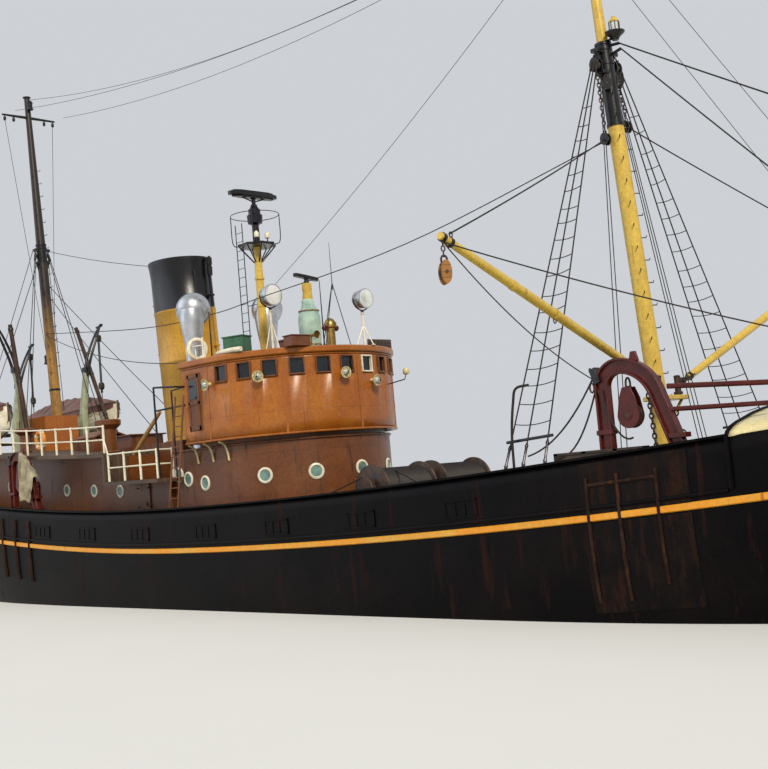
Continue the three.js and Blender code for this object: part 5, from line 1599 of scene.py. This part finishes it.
addHoop(bm, (-3.42, -3.05, 7.84), (0.05, 0.29, 0), (0, 0, 0.3), 28, 0.065, 12, 0)
makePiece("roofRailAndFloat", bm, ["whitePaint"])
bm = bmesh.new()
for k in range(7):  # wind-dodger: upright boards between two posts, on the port side of the roof
    addBox(bm, (-0.56, 1.5 + 0.15 * k, roof), (-0.52, 1.63 + 0.15 * k, roof + 0.35))
makePiece("windDodger", bm, ["boardPlanking"], bevel=0.008)

# Caged lamps round the wheelhouse front
bm = bmesh.new()
for angle, z in ((-53.9, 6.69), (-10.5, 6.64), (9.3, 6.39), (-92, 6.64)):
    if angle < -90:
        place = pointing((-2.45, -3.34, z), (0, -1, -0.1))
    else:
        place = pointing(wallPoint(angle, r, z), wallPoint(angle, 1, 0) - wallPoint(angle, 0, 0.1))
    shade = [
        (0.05, 0), (0.06, 0.02), (0.05, 0.14), (0.12, 0.17), (0.17, 0.22), (0.175, 0.25), (0.15, 0.24),
        (0.1, 0.2),
    ]
    addTurned(bm, shade, place, 22, 0)
    addTurned(bm, [(0.08, 0.17), (0.085, 0.24), (0.05, 0.3), (0, 0.31)], place, 18, 1)
    for turn in (0, 45, 90, 135):
        spin = place @ Matrix.Rotation(math.radians(turn), 4, "Z")
        hoop = circled((0, 0, 0.24), (0.14, 0, 0), (0, 0, 0.13), 16)[:9]
        addTube(bm, [spin @ p for p in hoop], 0.007, 5, 2)
addTube(bm, [wallPoint(30, r, 6.3), (0.75, 1.75, 6.38), (0.78, 1.8, 6.55)], 0.018, 6, 2)
addTurned(bm, [(0.06, 0), (0.1, 0.04), (0.1, 0.16), (0.04, 0.22)], at(0.78, 1.8, 6.52), 16, 0)
makePiece("wallLamps", bm, ["creamPaint", "lampGlass", "blackIronPaint"], sharp=50)
print("wheelhouse roof fitted out")

# Lifeboats: clinker planked, hung from the davits, each under a laced canvas cover
lifeboat = {
    "from": -25.9, "to": -17.4, "y": 2.48, "half": 0.95, "keel": 6.15, "gunwale": 7.3, "sheer": 0.25,
    "ridge": 0.8, "strakes": 9, "coverWide": 2.9, "coverLong": 8.6,
}
davits = {"aft": -24.8, "fore": -18.6}
davitLook = {
    "foot": 1.35, "knee": 1.62, "kneeZ": 9.0, "headZ": 11.0, "offset": 0.3,
    "section": ((-1, -0.5), (-0.7, -1), (0.7, -1), (1, -0.5), (1, 0.5), (0.7, 1), (-0.7, 1), (-1, 0.5)),
}


def boatShape(x):
    t = 2 * (x - lifeboat["from"]) / (lifeboat["to"] - lifeboat["from"]) - 1
    half = max(lifeboat["half"] * (1 - t ** 4), 0.04)
    return t, half, lifeboat["keel"] + 0.45 * t ** 6, lifeboat["gunwale"] + lifeboat["sheer"] * t ** 2


for word, side in bothSides.items():
    bm = bmesh.new()
    over = side * lifeboat["y"]
    rings = []
    for share in smoothRun(0, 1, 41):
        x = lifeboat["from"] + (lifeboat["to"] - lifeboat["from"]) * (0.5 - 0.5 * math.cos(math.pi * share))
        t, half, keel, gunwale = boatShape(x)
        flank = []
        for k in range(lifeboat["strakes"]):
            for share, lap in ((k, 0), (k + 0.93, 0.018)):
                s = share / lifeboat["strakes"]
                wide = half * (1 - (1 - s) ** 2.3) ** 0.6
                flank.append((wide + (lap if half > 0.1 else 0), keel + (gunwale - keel) * s ** 1.25))
        ring = [(x, over - y, z) for y, z in reversed(flank)] + [(x, over + y, z) for y, z in flank]
        rings.append([bm.verts.new(p) for p in ring])
    addSkin(bm, rings, 0)
    for edge in (-1, 1):
        run = []
        for x in smoothRun(lifeboat["from"] + 0.05, lifeboat["to"] - 0.05, 30):
            t, half, keel, gunwale = boatShape(x)
            run.append((x, over + edge * (half + 0.01), gunwale - 0.03))
        addTube(bm, run, 0.035, 8, 1)
        looped = []
        for k, p in enumerate(through(run[2:-2], 2)):
            looped.append(p + Vector((0, edge * 0.03, -0.2 - 0.16 * abs(math.sin(k * math.pi / 3)))))
        addTube(bm, looped, 0.012, 5, 3)
    for x, lean in ((lifeboat["from"], -1), (lifeboat["to"], 1)):
        t, half, keel, gunwale = boatShape(x)
        post = [(x - lean * 0.35, over, keel - 0.12), (x - lean * 0.02, over, keel + 0.3),
                (x, over, gunwale + 0.06)]
        addTube(bm, through(post, 5), 0.045, 8, 1)
    xs = smoothRun(lifeboat["from"] + 0.3, lifeboat["to"] - 0.3, 20)
    addTube(bm, [(x, over, boatShape(x)[2] - 0.01) for x in xs], 0.04, 6, 1)
    for x in davits.values():
        for shift in (-0.05, 0.05):
            fall = [(x + shift, over, lifeboat["gunwale"] + 0.75), (x + shift, over, 10.45)]
            addTube(bm, fall, 0.024, 6, 4)
        addBlock(bm, (x, over, 10.62), 0.34, 1, 2)
        addBlock(bm, (x, over, 8.55), 0.34, 1, 2)
        addTube(bm, [(x, over, 8.3), (x, over, 7.7)], 0.02, 6, 2)
    boatFinishes = ["whitePaint", "boardPlanking", "greasedIron", "hempRope", "tarredRope"]
    makePiece(f"clinkerBoat_{word}", bm, boatFinishes, nodes=[f"lifeboat_{word}"], sharp=25)
    bm = bmesh.new()
    rows = []
    for k, x in enumerate(smoothRun(lifeboat["from"] + 0.12, lifeboat["to"] - 0.12, 61)):
        t, half, keel, gunwale = boatShape(x)
        peak = gunwale + lifeboat["ridge"] * (1 - t ** 2) * (1 - 0.06 * math.sin(k * math.pi / 5) ** 2)
        hem = 0.2 + 0.09 * abs(math.sin(k * math.pi / 6))  # scalloped hem, hauled down at each eyelet
        row = [(x, over - half - 0.05, gunwale - hem)]
        for s in smoothRun(-1, 1, 17):
            out = abs(s)
            sag = 0.05 * math.sin(out * math.pi) * (1 + 0.6 * math.cos(k * math.pi / 3))
            row.append((x, over + s * (half + 0.03), peak + (gunwale + 0.03 - peak) * out - sag))
        row.insert(-1, (x, over + half + 0.05, gunwale - hem))
        rows.append([bm.verts.new(p) for p in row])
    addSkin(bm, rows, 0, closed=False)
    cover = makePiece(f"boatCover_{word}", bm, ["brownCanvas"], sharp=70)
    # Davits: broad curved legs, forked heads with a spreader and the falls
    for end, x in davits.items():
        bm = bmesh.new()
        px = x + davitLook["offset"]
        base = boatDeckAt(px)
        leg = through([(px, side * davitLook["foot"], base + 0.02), (px, side * 1.36, base + 1.4),
                       (px, side * 1.46, 7.9), (px, side * davitLook["knee"], davitLook["kneeZ"])], 6)
        rings = []
        for k, p in enumerate(leg):
            s = k / (len(leg) - 1)
            wide, deep = 0.2 - 0.09 * s, 0.16 - 0.05 * s
            corners = [p + Vector((a * wide, b * deep, 0)) for a, b in davitLook["section"]]
            rings.append([bm.verts.new(corner) for corner in corners])
        addSkin(bm, rings, 0)
        for shift in (-0.17, 0.17):
            arm = through([
                (px + shift * 0.6, side * 1.6, davitLook["kneeZ"] - 0.25), (px + shift, side * 1.78, 9.5),
                (px + shift * 0.8, side * 2.15, 10.4), (px, side * 2.45, davitLook["headZ"]),
            ], 5)
            addTube(bm, arm, smoothRun(0.07, 0.04, len(arm)), 10, 1)
        head = [(px + 0.12, side * 2.45, 10.96), (px, over, 10.92), (x - 0.1, over, 10.9)]
        addTube(bm, head, 0.05, 10, 1)
        addTube(bm, [(px, side * 1.62, 9.0), (px, side * 1.2, 6.2)], 0.02, 6, 2)
        foot, knee = side * davitLook["foot"], side * davitLook["knee"]
        addBox(bm, (px - 0.32, foot - 0.22, base), (px + 0.32, foot + 0.22, base + 0.06))
        addBox(bm, (px - 0.14, knee - 0.14, 8.9), (px + 0.14, knee + 0.14, 9.12), 1)
        makePiece(f"davitArm_{end}_{word}", bm, ["greyGreenPaint", "blackIronPaint", "galvanisedWire"],
                  nodes=[f"davit_{end}_{word}"], bevel=0.01)
        bm = bmesh.new()
        for low, wide in ((5.95, 0.75), (6.3, 0.6)):
            foot = max(low, boatDeckAt(x))
            addBox(bm, (x - 0.09, over - wide, foot), (x + 0.09, over + wide, low + 0.14))
        makePiece(f"boatChock_{end}_{word}", bm, ["boardPlanking"], bevel=0.015)
print("boats swung in")

# Otter boards: planks in an iron frame with towing brackets
for word, x in (("fore", 11.2), ("aft", -15.4)):
    bm = bmesh.new()
    end = x + 2.4
    outer = -(min(edgeAt(x), edgeAt(end)) - 0.1)
    low, high = deckAt(x) + 0.004, deckAt(end) + 1.08
    step = (high - low) / 6
    for k in range(6):
        seat = low + step * k
        addBox(bm, (x + 0.03, outer + 0.015, seat), (end - 0.03, outer + 0.085, seat + step * 0.95))
    for a in (x, end - 0.12, x + 0.75, x + 1.55):
        addBox(bm, (a, outer, low), (a + 0.12, outer + 0.1, high), 1)
    addBox(bm, (x, outer, low), (end, outer + 0.1, low + 0.12), 1)
    addBox(bm, (x, outer, high - 0.06), (end, outer + 0.1, high), 1)
    for a in (x + 0.8, x + 1.6):
        bracket = [(a, outer + 0.1, low + 0.25), (a + 0.1, outer + 0.45, low + 0.55),
                   (a, outer + 0.1, low + 0.85)]
        addTube(bm, bracket, 0.03, 8, 1)
    makePiece(f"otterBoardPlanks_{word}", bm, ["boardPlanking", "greasedIron"],
              nodes=[f"otter_board_{word}"], bevel=0.008)

# Trawl winch: bed, cheeks and warp-filled drums
winch = {"x": 3.0, "z": 3.05, "bedAft": 2.1, "bedFore": 3.9, "turns": 34}
winchDeck = max(deckAt(winch["bedAft"]), deckAt(winch["bedFore"])) + 0.002
for word, side in bothSides.items():
    bm = bmesh.new()
    place = at(winch["x"], side * 1.15, winch["z"], tiltX=90)
    flange = [(0.12, -0.95), (0.7, -0.95), (0.72, -0.93), (0.72, -0.89), (0.7, -0.87), (0.42, -0.86)]
    addTurned(bm, flange, place, 40, 0)
    addTurned(bm, [(radius, -z) for radius, z in reversed(flange)], place, 40, 0)
    turns = [(0.42, -0.865)]
    for k in range(winch["turns"]):
        z = -0.86 + 1.72 * k / winch["turns"]
        turns += [(0.585, z + 0.004), (0.605, z + 0.025), (0.585, z + 0.046)]
    addTurned(bm, turns + [(0.42, 0.865)], place, 40, 1)
    makePiece(f"winchDrumWithWarp_{word}", bm, ["greasedIron", "galvanisedWire"], body=f"drum_{word}",
              nodes=[f"winch_drum_{word}"], sharp=50)
bm = bmesh.new()
addBox(bm, (winch["bedAft"], -2.4, winchDeck), (winch["bedFore"], 2.4, winchDeck + 0.12))
cheek = [(0.7, winchDeck + 0.1), (0.55, winchDeck + 0.3), (0.25, winch["z"] + 0.25),
         (0.15, winch["z"] + 0.35)]
outline = [(winch["x"] - out, -z) for out, z in cheek]
outline += [(winch["x"] + out, -z) for out, z in reversed(cheek)]
for y in (-2.3, 0, 2.3):
    addPrism(bm, outline, y - 0.08, y + 0.08, at(0, 0, 0, tiltX=-90))
makePiece("winchCheeks", bm, ["greasedIron"], nodes=["winch_bed"], bevel=0.015)

# Windlass on the whaleback: whelped barrel between bitts
windlassX = 20.6
windlassZ = deckAt(windlassX) + whaleback["crown"]
bm = bmesh.new()
place = at(windlassX, 0, windlassZ + 0.55, tiltX=90)
barrel = [(0.1, 0.7), (0.28, 0.69), (0.28, 0.6), (0.2, 0.5), (0.17, 0.35), (0.2, 0.2), (0.28, 0.12)]
addTurned(bm, [(radius, -z) for radius, z in barrel] + list(reversed(barrel)), place, 28)
for k in range(6):
    spin = place @ Matrix.Rotation(k * math.pi / 3, 4, "Z")
    for y in (-0.35, 0.35):
        addBox(bm, (0.15, -0.03, y - 0.2), (0.23, 0.03, y + 0.2), 0, spin)
makePiece("windlassWhelps", bm, ["greasedIron"], body="windlass_barrel", nodes=["windlass_barrel"],
          bevel=0.008)
bm = bmesh.new()
addBox(bm, (windlassX - 0.5, -1.0, windlassZ + 0.004), (windlassX + 0.5, 1.0, windlassZ + 0.16))
for y in (-0.8, 0.8):
    outline = [(-0.3, 0.1), (-0.22, 0.6), (-0.1, 0.85), (0.1, 0.85), (0.22, 0.6), (0.3, 0.1)]
    addPrism(bm, [(a, -b) for a, b in outline], y - 0.08, y + 0.08, at(windlassX, 0, windlassZ, tiltX=-90))
makePiece("windlassBitts", bm, ["greasedIron"], nodes=["windlass_bed"], bevel=0.015)

# Bollards, the whaleback's low rail and the deck lamps
bm = bmesh.new()
for side in (-1, 1):
    for x in (17.6, 22.6):
        y = side * (edgeAt(x) * 0.72)
        z = sheerAt(x) + 1.42
        post = [(0.11, -0.1), (0.11, 0.42), (0.14, 0.44), (0.14, 0.5), (0.05, 0.54)]
        for shift in (-0.25, 0.25):
            addTurned(bm, post, at(x + shift, y, z), 18)
        addBox(bm, (x - 0.45, y - 0.15, z - 0.06), (x + 0.45, y + 0.15, z + 0.04))
    for x in (14.4, -9.4, -20.5, 6.0):
        post = [(0.1, 0), (0.1, 0.5), (0.13, 0.52), (0.13, 0.58), (0.04, 0.62)]
        for shift in (-0.22, 0.22):
            addTurned(bm, post, at(x + shift, side * (edgeAt(x) - 0.45), deckAt(x)), 18)
addTurned(bm, [(0.14, 0), (0.14, 0.7), (0.22, 0.8), (0.3, 0.86), (0.3, 0.92), (0.05, 1.0)],
          at(18.4, 0.9, deckAt(18.4) + 1.55), 20)
makePiece("bollards", bm, ["blackIronPaint"])
bm = bmesh.new()
for side in (-1, 1):
    posts = []
    for x in smoothRun(17.4, 26.2, 10):
        z = sheerAt(x) + 1.12
        y = side * (edgeAt(x) * 0.96)
        posts.append(Vector((x, y, z + 0.85)))
        addTube(bm, [(x, y, z - 0.04), posts[-1]], 0.022, 8)
        addTurned(bm, [(0.03, -0.04), (0.04, 0), (0.03, 0.04)], at(*posts[-1]), 8)
    for drop in (0, 0.42):
        addTube(bm, [p - upBy(drop) for p in posts], 0.014, 6)
makePiece("whalebackRail", bm, ["whitePaint"])
bm = bmesh.new()
for x, y, high in ((14.85, -1.5, 0.9), (10.77, 0.9, 1.9)):
    base = deckAt(x)
    addTube(bm, [(x, y, base), (x, y, base + high)], 0.03, 8, 0)
    addTurned(bm, [(0.05, 0), (0.13, 0.05), (0.13, 0.09), (0.07, 0.14), (0.07, 0.22), (0.02, 0.25)],
              at(x, y, base + high - 0.02), 16, 1)
makePiece("deckLamps", bm, ["blackIronPaint", "creamPaint"])
print("deck gear built")

# Chafing bars and worn doubling on the side below the fore gallows, crossing the yellow line
def onSide(x, rise, out):
    return Vector((x, sideAt(x, sheerAt(x) + rise, -1) - out, sheerAt(x) + rise))


chafing = {
    "bars": [
        (12.15, 2.6, 0.04), (12.9, 2.6, 0.04), (13.8, 2.3, 0.04), (-14.2, 2.1, 0.06), (-13.2, 2.1, 0.06),
        (-12.2, 2.1, 0.06),
    ],
    "top": 0.62, "plateAft": 12.0, "plateFore": 14.5,
}
bm = bmesh.new()
for x, tall, radius in chafing["bars"]:
    addTube(bm, [onSide(x, chafing["top"] - tall * k / 8, 0.02) for k in range(9)], radius, 8, 1)
addTube(bm, [onSide(x, 0.45, 0.015) for x in smoothRun(12.15, 13.8, 8)], 0.038, 8, 1)
for rises in ((0.9, 0.5, 0.1, -0.28), (-0.34, -0.9, -1.5, -2.2)):  # above and below the yellow line
    rows = []
    for x in smoothRun(chafing["plateAft"], chafing["plateFore"], 12):
        rows.append([bm.verts.new(onSide(x, rise, 0.012)) for rise in rises])
    addSkin(bm, rows, 0, closed=False)
makePiece("chafingBars", bm, ["rustedHullPaint", "rustyBars"])

# Half-round rubbing strakes along both sides, and the freeing ports in the bulwark
bm = bmesh.new()
for side in (-1, 1):
    strake = []
    for x in smoothRun(-26.0, 15.3, 60):
        z = sheerAt(x) - 0.02
        strake.append((x, sideAt(x, z, side) + side * 0.005, z))
    addTube(bm, strake, 0.045, 8, 0)
    for x in (-22.5, -19.0, -11.2, -8.2, -5.0, -1.5, 1.8, 5.2, 8.6):
        slope = math.degrees(math.atan2(sheerAt(x + 0.4) - sheerAt(x - 0.4), 0.8))
        turned = math.degrees(math.atan2(side * (edgeAt(x + 0.4) - edgeAt(x - 0.4)), 0.8))
        place = at(x, side * edgeAt(x), sheerAt(x) + 0.3, turnZ=turned, tiltY=-slope)
        addBox(bm, (-0.45, -0.014, -0.16), (0.45, 0.014, 0.16), 0, place)
        for sign in (-1, 1):
            low, high = sorted((sign * 0.16, sign * 0.21))
            addBox(bm, (-0.5, -0.03, low), (0.5, 0.03, high), 0, place)
            low, high = sorted((sign * 0.45, sign * 0.5))
            addBox(bm, (low, -0.03, -0.2), (high, 0.03, 0.2), 0, place)
        for a in (-0.15, 0.15):
            addTube(bm, [place @ Vector((a, side * 0.02, b)) for b in (-0.18, 0.18)], 0.014, 6, 0)
makePiece("rubbingStrakesAndPorts", bm, ["blackHullPaint"], bevel=0.006)

# Anchors hove up in the hawse pipes
bm = bmesh.new()
for side in (-1, 1):
    x = 23.6
    z = sheerAt(x) - 0.35
    y = sideAt(x, z, side)
    out = Vector((0.45, side, 0.05)).normalized()
    place = pointing((x, y - side * 0.05, z), out)
    lip = [(0.2, 0), (0.3, 0.03), (0.32, 0.09), (0.26, 0.14), (0.18, 0.12), (0.17, 0.02)]
    addTurned(bm, lip, place, 24, 0)
    shank = Vector((x, y, z)) + out * 0.12
    down = Vector((-0.12, side * 0.02, -1)).normalized()
    crown = shank + down * 1.05 + out * 0.03
    addTube(bm, [shank, crown], [0.06, 0.08], 8, 1)
    for lean in (-1, 1):
        reach = ((0, 0, 0), (lean * 0.3, 0, 0.02), (lean * 0.42, side * 0.04, 0.55))
        fluke = [crown + Vector(p) for p in reach]
        addTube(bm, through(fluke, 4), [0.09] * 5 + [0.07, 0.06, 0.04, 0.02], 8, 1)
makePiece("anchors", bm, ["blackHullPaint", "greasedIron"])

# Portholes in the hull, forward and aft
bm = bmesh.new()
for side in (-1, 1):
    for x in (16.6, 18.4, 20.2, -16.5, -18.5, -20.5):
        z = sheerAt(x) - 0.62
        y = sideAt(x, z, side)
        slope = (sideAt(x, z + 0.1, side) - sideAt(x, z - 0.1, side)) / 0.2
        run = (sideAt(x + 0.2, z, side) - sideAt(x - 0.2, z, side)) / 0.4
        addPorthole(bm, pointing((x, y, z), (-run * side, side, -slope * side)), 0.14)
makePiece("hullPortholes", bm, ["blackHullPaint", "portholeGlass"])
print("hull fitted")

# Deck ventilators, a locker abaft the funnel, the side ladder and the lifebuoys
bm = bmesh.new()
vents = [(-10.1, -2.4, 0.28, 1.15), (-10.4, 2.3, 0.28, 1.15), (-16.7, -2.2, 0.2, 0.9), (-6.6, 1.6, 0.2, 0.9)]
for x, y, radius, high in vents:
    cowl = [(0.06, 0), (0.06, 0.05), (0, 0.08), (0, high * 0.72), (0.17, high * 0.86), (0.18, high),
            (0.1, high + 0.03)]
    cap = [(0.03, high + 0.05)]
    addTurned(bm, [(radius + grow, z) for grow, z in cowl] + cap, at(x, y, boatDeckAt(x)), 28, 0)
base = boatDeckAt(-12)
addBox(bm, (-12.9, -0.7, base), (-11.4, 0.7, base + 0.55), 0)
addBox(bm, (-13.0, -0.8, base + 0.55), (-11.3, 0.8, base + 0.6), 0)
makePiece("deckVents", bm, ["darkBrownPaint"], bevel=0.01)
bm = bmesh.new()
sideLadder = {"top": Vector((-3.55, -3.75, 6.4)), "foot": Vector((-3.45, -4.45, 2.05)), "wide": 0.45,
              "pitch": 0.3}
top, foot = sideLadder["top"], sideLadder["foot"]
half = Vector((sideLadder["wide"] / 2, 0, 0))
for shift in (-half, half):
    addTube(bm, [top + shift, foot + shift], 0.03, 8)
count = int((top - foot).length / sideLadder["pitch"])
for k in range(1, count):
    p = top.lerp(foot, k / count)
    addTube(bm, [p - half, p + half], 0.018, 6)
makePiece("sideLadders", bm, ["darkBrownPaint"])
bm = bmesh.new()
for x, y, z, across in (
    (-12.9, -3.55, boatDeckAt(-12.9) + 0.55, (0.3, 0, 0)),
    (-12.9, 3.55, boatDeckAt(-12.9) + 0.55, (0.3, 0, 0)), (-5.36, -2.2, 4.0, (0, 0.3, 0)),
    (-5.36, 2.2, 4.0, (0, 0.3, 0)),
):
    ring = circled((x, y, z), across, (0, 0, 0.3), 24)
    addTube(bm, ring, 0.075, 12, 0, loop=True)
    for k in (3, 9, 15, 21):
        addTube(bm, [ring[k], ring[k + 1]], 0.082, 12, 1)
makePiece("lifebuoys", bm, ["lifebuoyPaint", "whitePaint"])
print("boat deck fitted")

# Spars, bars and tackle about the deck edge abaft the wheelhouse
bm = bmesh.new()
for a, b, radius, finish in (
    ((-18.15, -1.8, 10.84), (-17.22, -1.8, 6.19), 0.1, 0),
    ((-19.24, 1.8, 10.95), (-17.2, 1.8, 6.8), 0.09, 0), ((-4.91, -3.6, 6.04), (-6.6, -3.6, 4.82), 0.07, 1),
    ((-4.73, -3.9, 6.79), (-3.84, -3.7, 6.72), 0.035, 2), ((-4.7, -3.9, 4.0), (-4.73, -3.9, 6.8), 0.035, 2),
    ((-4.7, -3.9, 6.05), (-3.86, -3.36, 6.15), 0.03, 2), ((-4.65, -3.3, 3.9), (-4.65, -3.3, 6.7), 0.03, 2),
    ((-3.84, -3.72, 6.72), (-3.84, -3.35, 6.72), 0.03, 2),
    ((-4.65, -3.3, 6.68), (-3.84, -3.35, 6.72), 0.03, 2),
):
    a, b = Vector(a), Vector(b)
    addTube(bm, [a, a.lerp(b, 0.5), b], [radius * 0.85, radius, radius * 0.9], 12, finish)
    if radius > 0.08:
        for s in (0.03, 0.5, 0.94):
            addTube(bm, [a.lerp(b, s), a.lerp(b, s + 0.02)], radius * 1.12, 12, 2)
makePiece("loftedSpars", bm, ["creosotedSpar", "smokedMastPaint", "blackIronPaint"])

# Chains, ropes and links at the fore gallows, and a bent hook standing by the shrouds
bm = bmesh.new()
x, y = gallowsPlaces["fore"]
turnX, crownZ = gallowsCrown["fore"]
base = deckAt(x)
addChain(bm, (x + 1.05, y + 0.05, crownZ + 0.62), (x + 1.15, y + 0.1, base + 0.35), 0.13, 0.018, 0)
addChain(bm, (x + 1.2, y + 0.12, crownZ + 0.5), (x + 1.5, y + 0.3, base + 0.5), 0.12, 0.016, 0)
addTube(bm, sagging((x + 0.64, y, crownZ - 0.55), (x - 0.05, y - 0.1, base + 2.4), 0.35, 10), 0.022, 6, 1)
addTube(bm, sagging((x - 0.2, y, base + 2.7), (x - 1.9, y - 0.35, base + 1.15), 0.3, 12), 0.02, 6, 1)
addTube(bm, sagging((x - 0.15, y, base + 2.5), (x - 1.2, y - 0.3, base + 1.08), 0.45, 12), 0.02, 6, 1)
for k in range(2):
    spot = (x - 0.16 - 0.1 * k, y - 0.02, base + 2.62 - 0.16 * k)
    addHoop(bm, spot, (0, 0, 0.1), (0.055, 0, 0), 10, 0.02, 6, 0)
hook = [(10.15, -4.4, 3.2), (10.18, -4.4, 4.1), (10.3, -4.4, 4.8), (10.42, -4.41, 5.08),
        (10.78, -4.41, 5.12)]
addTube(bm, through(hook, 5), 0.03, 8, 1)
makePiece("gallowsTackle", bm, ["greasedIron", "tarredRope"])

# Trawl warps from the winch to the bollard by the fore gallows and aft along the side deck
bm = bmesh.new()
addWire(bm, [(3.0, -1.3, 3.64), (6.2, -2.9, 2.9), (11.9, -3.6, deckAt(11.9) + 0.35)], 0.02)
addWire(bm, [(3.0, -1.7, 3.64), (0.9, -3.75, 2.5), (-12.9, -3.75, deckAt(-12.9) + 0.3)], 0.02)
post = [(0.16, 0), (0.16, 0.06), (0.09, 0.09), (0.08, 0.26), (0.16, 0.3), (0.1, 0.42), (0.16, 0.52),
        (0.04, 0.56)]
for x, y in ((11.9, -3.6), (0.9, -3.75), (-12.9, -3.75)):
    addTurned(bm, post, at(x, y, deckAt(x) + 0.004), 18, 1)
makePiece("trawlWarps", bm, ["galvanisedWire", "greasedIron"])

# Fish pounds: removable boards in posts across the fore deck
bm = bmesh.new()
for x in (4.9, 9.2):
    z = deckAt(x)
    for side in (-1, 1):
        for y0, y1 in ((1.5, 2.55), (2.65, 3.8)):
            for k in range(2):
                low, high = sorted((side * y0, side * y1))
                addBox(bm, (x - 0.03, low, z + 0.01 + 0.24 * k), (x + 0.03, high, z + 0.23 + 0.24 * k))
        for y in (1.45, 2.6, 3.85):
            addBox(bm, (x - 0.06, side * y - 0.06, z), (x + 0.06, side * y + 0.06, z + 0.62))
makePiece("fishPounds", bm, ["boardPlanking"], bevel=0.01)

# Canvas on the aft gallows, hung over the bar
cloth = {
    "hem": 3.62, "wide": 0.98, "narrow": 0.62, "folds": 5, "cells": 40, "from": 0.42, "overBar": 0.2,
    "out": 0.13, "beltAt": 0.62,
}
bm = bmesh.new()
turnX, crownZ = gallowsCrown["aft"]
hangY = gallowsPlaces["aft"][1]
reach = gallows["crown"] + gallows["bar"] / 2 + 0.02
middle = turnX + cloth["from"] + cloth["wide"] / 2
rows = []
for k in range(cloth["cells"] + 1):
    s = k / cloth["cells"]
    q = max(0, (s - cloth["overBar"]) / (1 - cloth["overBar"]))
    belt = 1 - 0.16 * math.exp(-((q - cloth["beltAt"]) / 0.09) ** 2)
    row = []
    for i in range(cloth["cells"] + 1):
        u = i / cloth["cells"]
        dx = cloth["from"] + cloth["wide"] * u
        top = crownZ + (math.sqrt(reach ** 2 - dx ** 2) if dx < 0.95 else 0.621 - 1.1 * (dx - 0.95))
        deep = (0.02 + 0.07 * min(1, s * 1.6)) * (0.7 + 0.3 * math.sin(5.3 * u + 1))
        fold = deep * math.sin(2 * math.pi * cloth["folds"] * u + 1.1 * math.sin(3 * s))
        if s < cloth["overBar"]:  # over the bar from the inboard side
            t = s / cloth["overBar"]
            y, z = cloth["out"] * (1 - 2 * t), top + 0.01 - 0.3 * max(0, 0.6 - t) ** 1.2
        else:
            y = -cloth["out"] - 0.06 * math.sin(q * math.pi / 2)
            z = top + (cloth["hem"] + 0.06 * math.sin(4 * u) - top) * q
        x = middle + (u - 0.5) * (cloth["wide"] + (cloth["narrow"] - cloth["wide"]) * q) * belt - 0.05 * q
        row.append(bm.verts.new((x, hangY + y + fold - 0.045 * min(1, s * 4), z)))
    rows.append(row)
across = sum((p.co - q.co).length for row in rows for p, q in zip(row, row[1:])) / len(rows) * modelScale
addSkin(bm, rows, 0, closed=False)
canvas = makePiece("hungCanvas", bm, ["paleCanvas"], sharp=80)
print("loose gear laid out")

# Floor at the waterline, soft studio light from ahead and to starboard
floorSize = 400
bm = bmesh.new()
corners = ((-1, -1), (1, -1), (1, 1), (-1, 1))
bm.faces.new([bm.verts.new((floorSize * x, floorSize * y, 0)) for x, y in corners])
mesh = bpy.data.meshes.new("floor")
bm.to_mesh(mesh)
bm.free()
floorPaper, tree, place = startMaterial("floorPaper")  # matt grey paper, faintly mottled
tint = ramp(tree, noise(tree, place, 5000, 3), 0.3, hexToLinear("#cdcdca"), 0.7, hexToLinear("#d0d0cd"))
endMaterial(tree, {"Roughness": 0.9, "Base Color": tint})
mesh.materials.append(floorPaper)
floor = bpy.data.objects.new("floor", mesh)
bpy.context.scene.collection.objects.link(floor)

skyLight = {"colour": "#e9edf2", "strength": 0.75}
lights = {
    "key": {"turn": (52, 0, 62), "strength": 3.0, "angle": 14, "colour": "#fff4e2"},
    "fill": {"turn": (60, 0, -40), "strength": 0.7, "angle": 60, "colour": "#e6eefc"},
}
for name, light in lights.items():
    lamp = bpy.data.lights.new(name, "SUN")
    lamp.energy = light["strength"]
    lamp.angle = math.radians(light["angle"])
    lamp.color = hexToLinear(light["colour"])[:3]
    holder = bpy.data.objects.new(name, lamp)
    holder.rotation_euler = [math.radians(a) for a in light["turn"]]
    bpy.context.scene.collection.objects.link(holder)
sky = bpy.data.worlds.new("sky")
sky.use_nodes = True
backdrop = sky.node_tree.nodes["Background"]
backdrop.inputs["Color"].default_value = hexToLinear(skyLight["colour"])
backdrop.inputs["Strength"].default_value = skyLight["strength"]
bpy.context.scene.world = sky
bpy.context.scene.view_settings.view_transform = "Standard"
print("stage set")
